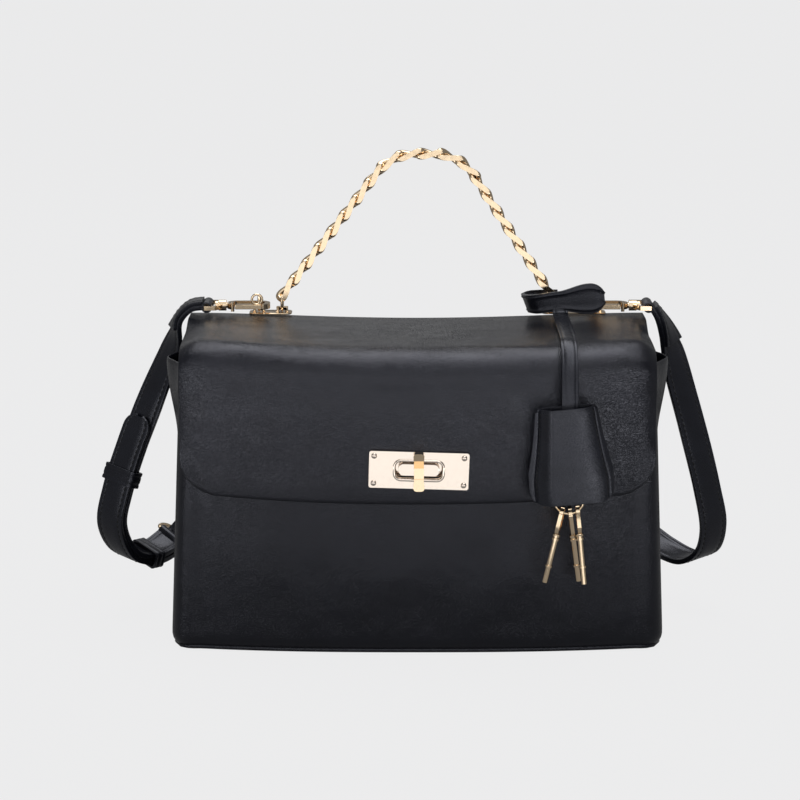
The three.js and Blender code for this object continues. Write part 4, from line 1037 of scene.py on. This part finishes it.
short_length = sum((b.at - a.at).length for a, b in zip(short_stations, short_stations[1:]))
strip("strap_short_leather", short_stations, STRAP_WIDTH, STRAP_T, "shoulder_strap", ["strap_short"])
strip("strap_long_leather", long_all, STRAP_WIDTH, STRAP_T, "shoulder_strap", ["strap_long"])
edge_stitches("strap_short_seam", short_stations[22:62], STRAP_WIDTH, STRAP_T, "shoulder_strap")
edge_stitches("strap_long_seam", long_all[26:], STRAP_WIDTH, STRAP_T, "shoulder_strap")
print("strap:", round(long_length), "and", round(short_length), "mm long")

# %% [markdown]
# ## Strap ends
# At each clip the strap goes round the bar of the swivel and is sewn down on itself, so a second layer lies
# on the first few centimetres. At the bar the two layers make a round eye, and so does the short part at
# the buckle.

# %% Strap ends
END_LIFT = 2.5
END_T = 2.2
CLIP_EYE_R = 3.1
BUCKLE_EYE_R = 3
SWIVEL_BARS = {"left": Vector((-117.6, HOOK_Y, HOOK_Z)), "right": Vector((129.6, HOOK_Y, HOOK_Z))}
for word, stations in (("left", short_stations[1:23]), ("right", long_stations[2:27])):
    doubled = [s.moved(END_LIFT) for s in stations]
    strip(f"strap_end_{word}", doubled, STRAP_WIDTH, END_T, "shoulder_strap")
    edge_stitches(f"strap_end_seam_{word}", doubled, STRAP_WIDTH, END_T, "shoulder_strap")
    bar = SWIVEL_BARS[word]
    sleeve(f"strap_eye_{word}", bar, Vector((0, 1, 0)), CLIP_EYE_R, STRAP_WIDTH, "shoulder_strap")
sleeve("strap_eye_buckle", buckle_at.at, buckle_at.across, BUCKLE_EYE_R, STRAP_WIDTH, "shoulder_strap")
print("strap ends: two doubled, three eyes")

# %% [markdown]
# ## Keepers
# Two leather bands hold the tail against the strap. Each is a loop with two stitched grooves round it; one
# is sewn near the buckle, the other slides.

# %% Keepers
KEEPER_HALF = (10.05, 4.5)
KEEPER_CORNER = 1.9
KEEPER_T = 1.3
KEEPER_GROOVES = (-0.5, 0.5)
keeper_side = [0.2, 0.4, 0.5, 0.6, 0.7, 0.9, 1]
keeper_columns = [-c for c in reversed(keeper_side)] + keeper_side


def keeper(name, station, lift, length, body, solid):
    loop = rounded_rectangle(*KEEPER_HALF, KEEPER_CORNER)
    along = station.across.cross(station.out)

    def place(c, i):
        x, z = loop[i % len(loop)]
        pinch = 1 - 0.05 * sum(math.exp(-((c - g) / 0.1) ** 2) for g in KEEPER_GROOVES)
        aside = station.across * x * pinch + station.out * (z * pinch + lift)
        return station.at + aside + along * (c * length / 2)

    bm = pulled_grid(keeper_columns, list(range(len(loop) + 1)), place, closed=True)
    piece = finish_piece(name, bm, strap_hide, body, [solid])
    add_thickness(piece, KEEPER_T, 0)
    soften_edges(piece, 0.5)


SLIDE_Z = 82.73
slide_station = min(short_stations, key=lambda s: abs(s.at.z - SLIDE_Z))
keeper("keeper_slide_leather", slide_station, TAIL_GAP / 2, 9, "keeper_slide", "keeper_slide")
keeper("keeper_fixed_leather", short_stations[-11], TAIL_GAP / 2 + 0.2, 7, "shoulder_strap", "keeper_fixed")
print("keepers: one slides, one is sewn on")

# %% [markdown]
# ## Key fob strap
# A loop with a rounded tab goes round the right end of the chain. From it a narrow strap runs forward over
# the flap and hangs down its front, shaped to follow the fold of the flap and the turn over the crest.

# %% Key fob strap
FOB_X = 80
FOB_WIDTH = 8
FOB_T = 1.8
FOB_Y = -67
KEY_SEAT_Z = 99.5
LOOP_WIDTH = 11
TAB_WIDTH = 17
UPRIGHT = (0, 0, 1)
LEANING = (-0.36, 0, 0.93)
ACROSS = (1, 0, 0)
LEANING_X = 67
TOP_STOPS = ((18.5, 2.1), (5, 2.1), (-18, 2.1), (-34, 2.5), (-50, 1.6))
loop_places = [(104.6, 22.4, 184.6), (97, 22.6, 184), (88, 23, 183.2), (77, 23.8, 182), (66.2, 26.6, 180.2),
               (61.4, 36, 179.4), (65.4, 46.2, 179.2), (73, 49, 179.2), (80, 49.2, 179.2)]
loop_stations = route([(p, LEANING if p[0] < LEANING_X else UPRIGHT) for p in loop_places], 72)
walked = 0.0
for i, s in enumerate(loop_stations):
    walked += (s.at - loop_stations[max(i - 1, 0)].at).length
    round_end = math.sqrt(max(1 - (1 - min((walked + 0.6) / (TAB_WIDTH / 2), 1)) ** 2, 0))
    s.width = round_end * mix(TAB_WIDTH, LOOP_WIDTH, smooth_step(walked, 9, 26)) / LOOP_WIDTH
strip("fob_loop_leather", loop_stations, LOOP_WIDTH, FOB_T, "case", ["fob_loop"], crown=0.1)
edge_stitches("fob_loop_seam", loop_stations[2:44], LOOP_WIDTH, FOB_T, "case")
tail_places = [(FOB_X, 24, 184), (FOB_X, 23.9, 180), (FOB_X, 23.5, 177.6), (FOB_X, 22.2, 175.6),
               (FOB_X, 20, 174.7), (FOB_X, 16, 174.5)]
fob_bridge = strip("fob_bridge", route([(p, ACROSS) for p in tail_places], 24), FOB_WIDTH, FOB_T, None)
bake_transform(fob_bridge)
fob_places = [(FOB_X, y, top_z(FOB_X, y) + up) for y, up in TOP_STOPS]
fob_places += [(FOB_X, -60, 162.5), (FOB_X, -65, 152.5)]
fob_places += [(FOB_X, FOB_Y, z) for z in (141.5, 125.5, 111.5, KEY_SEAT_Z)]
fob_stations = route([(p, ACROSS) for p in fob_places], 80)
fob_strap = strip("fob_strap_leather", fob_stations[:77], FOB_WIDTH, FOB_T, None,
                  ["fob_strap_top", "fob_strap"])
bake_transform(fob_strap)
sleeve("fob_eye", Vector((FOB_X, FOB_Y, KEY_SEAT_Z)), Vector(ACROSS), 2.6, 5, "fob")
print("fob strap: loop of", round(walked), "mm, bridge and hanging strap")

# %% [markdown]
# ## Key cover
# The bell-shaped cover is two soft layers sewn along the sides and open below. A raised border follows each
# side, with the seam in a groove beside it. The keys inside push the front layer up in a ridge that is
# steep on its left.

# %% Key cover
BELL_TOP = (16.5, 141.5)
BELL_LOW = (22.5, 90.5)
BELL_MIDDLE_Z = 115.5
BELL_CORNER = 7
BELL_TILT = math.radians(5)
BELL_T = 1.6
BORDER = 0.85
FRONT_RISE = 7.2
BACK_RISE = 3.4
bell_turn = Matrix.Rotation(-BELL_TILT, 3, "Y")


def bell_point(u, v, layer):
    half = mix(BELL_TOP[0], BELL_LOW[0], min(v * 1.3, 1)) - 0.6 * math.sin(math.pi * min(v * 1.3, 1))
    x = u * half
    into = max(abs(u) * BELL_LOW[0] - (BELL_LOW[0] - BELL_CORNER), 0)
    low = BELL_LOW[1] + BELL_CORNER - math.sqrt(BELL_CORNER ** 2 - into ** 2)
    z = mix(BELL_TOP[1] - 1.6 * smooth_step(abs(u), 0.85, 1), low, v)
    ridge = mix(min(max((u + 0.86) / 0.36, 0), 1), smooth_step(u, -0.88, -0.44), 0.6)
    rise = FRONT_RISE * ridge * (1 - max(u, 0) ** 3) if layer < 0 else BACK_RISE * (1 - abs(u) ** 3)
    puff = 1.9 + rise * mix(0.75, 1, v)
    groove = 0.55 * math.exp(-((abs(u) - BORDER) / 0.03) ** 2)
    border = 0.7 * smooth_step(abs(u), BORDER - 0.01, BORDER + 0.03) - groove
    y = layer * (puff + border + waviness(u * 9, layer * 7, v * 14, 6, 0.3))
    return bell_turn @ Vector((x, y, z - BELL_MIDDLE_Z)) + Vector((FOB_X, FOB_Y, BELL_MIDDLE_Z))


bell_side = [0.2, 0.36, 0.42, 0.46, 0.52, 0.62, 0.72, 0.78, 0.81, 0.83, 0.85, 0.87, 0.9, 0.95, 1]
bell_columns = [-u for u in reversed(bell_side)] + [0] + bell_side
for word, layer in (("front", -1), ("back", 1)):
    bm = pulled_grid(bell_columns, spread(0, 1, 26), lambda u, v: bell_point(u, v, layer))
    turn_outward(bm, Vector((FOB_X, FOB_Y, BELL_MIDDLE_Z)) * MM)
    bell = finish_piece(f"clochette_{word}", bm, strap_hide, "clochette", ["clochette"])
    add_thickness(bell, BELL_T)
    soften_edges(bell, 0.5)
    for u in (-BORDER + 0.02, BORDER - 0.02):
        seam_points = [bell_point(u, v, layer) for v in spread(0.03, 0.93, 40)]
        seam_line = [(p, Vector((0, layer, 0)), Vector(ACROSS)) for p in seam_points]
        stitches(f"clochette_seam_{word}_{'a' if u < 0 else 'b'}", seam_line, "clochette", 2.6, 0.28)
print("key cover: two layers")

# %% [markdown]
# ## Welt and lining
# A thin round welt closes the seam between the walls and the base. Inside hangs a cup of dark cloth, a
# little rumpled, sewn to the panels at its rim.

# %% Welt and lining
WELT_Z = 2.6
WELT_R = 1.3
welt_shares = spread(-1, 1, 80)
welt_line = [wall_point(c, WELT_Z, -1, FRONT_BULGE) for c in welt_shares]
welt_line += [wall_point(-c, WELT_Z, 1, BACK_BULGE) for c in welt_shares]
finish_piece("base_welt", rod_round(welt_line, WELT_R, 8, Vector((0, 0, 1))), nappa, "case")

CUP_HALF = (117.6, 40.6)
CUP_LOW = 5.9
CUP_HIGH = 156.3
CUP_CORNER = 9
CUP_STEP = 8
cup_loop = [Vector((x, y)) for x, y in rounded_rectangle(*CUP_HALF, CUP_CORNER, 4)]
cup_line = []
for a, b in zip(cup_loop, cup_loop[1:] + cup_loop[:1]):
    count = max(int((b - a).length / CUP_STEP), 1)
    cup_line += [a.lerp(b, k / count) for k in range(count)]
cup_rows = [("floor", s) for s in spread(0, 1, 5)] + [("wall", z) for z in spread(CUP_LOW, CUP_HIGH, 22)[1:]]


def cup_point(i, row):
    where = cup_line[i % len(cup_line)]
    zone, value = row
    if zone == "floor":
        return Vector((where.x * value, where.y * value - 1, CUP_LOW))
    height = (value - CUP_LOW) / (CUP_HIGH - CUP_LOW)
    crease = waviness(where.x, where.y, value, 24, 1.3) * math.sin(math.pi * height)
    slack = 1 - abs(crease) / 40
    return Vector((where.x * slack, where.y * slack - 1, value))


cup_bm = pulled_grid(list(range(len(cup_line) + 1)), cup_rows, cup_point, closed=True)
cup_area = sum(f.calc_area() for f in cup_bm.faces)
cup = finish_piece("lining_cup", cup_bm, lining_cloth, "case", ["lining"])

# %% [markdown]
# ## Carried-over solids
# The base board and the washer behind the lock keep their mesh and only change their finish.

# %% Carried-over solids
for solid, finish in (("base_board", grey_board), ("lock_washer", plain_zinc)):
    for slot in frame["nodes"][solid].material_slots:
        slot.material = finish
    print("carried over:", solid, "in", finish.name)
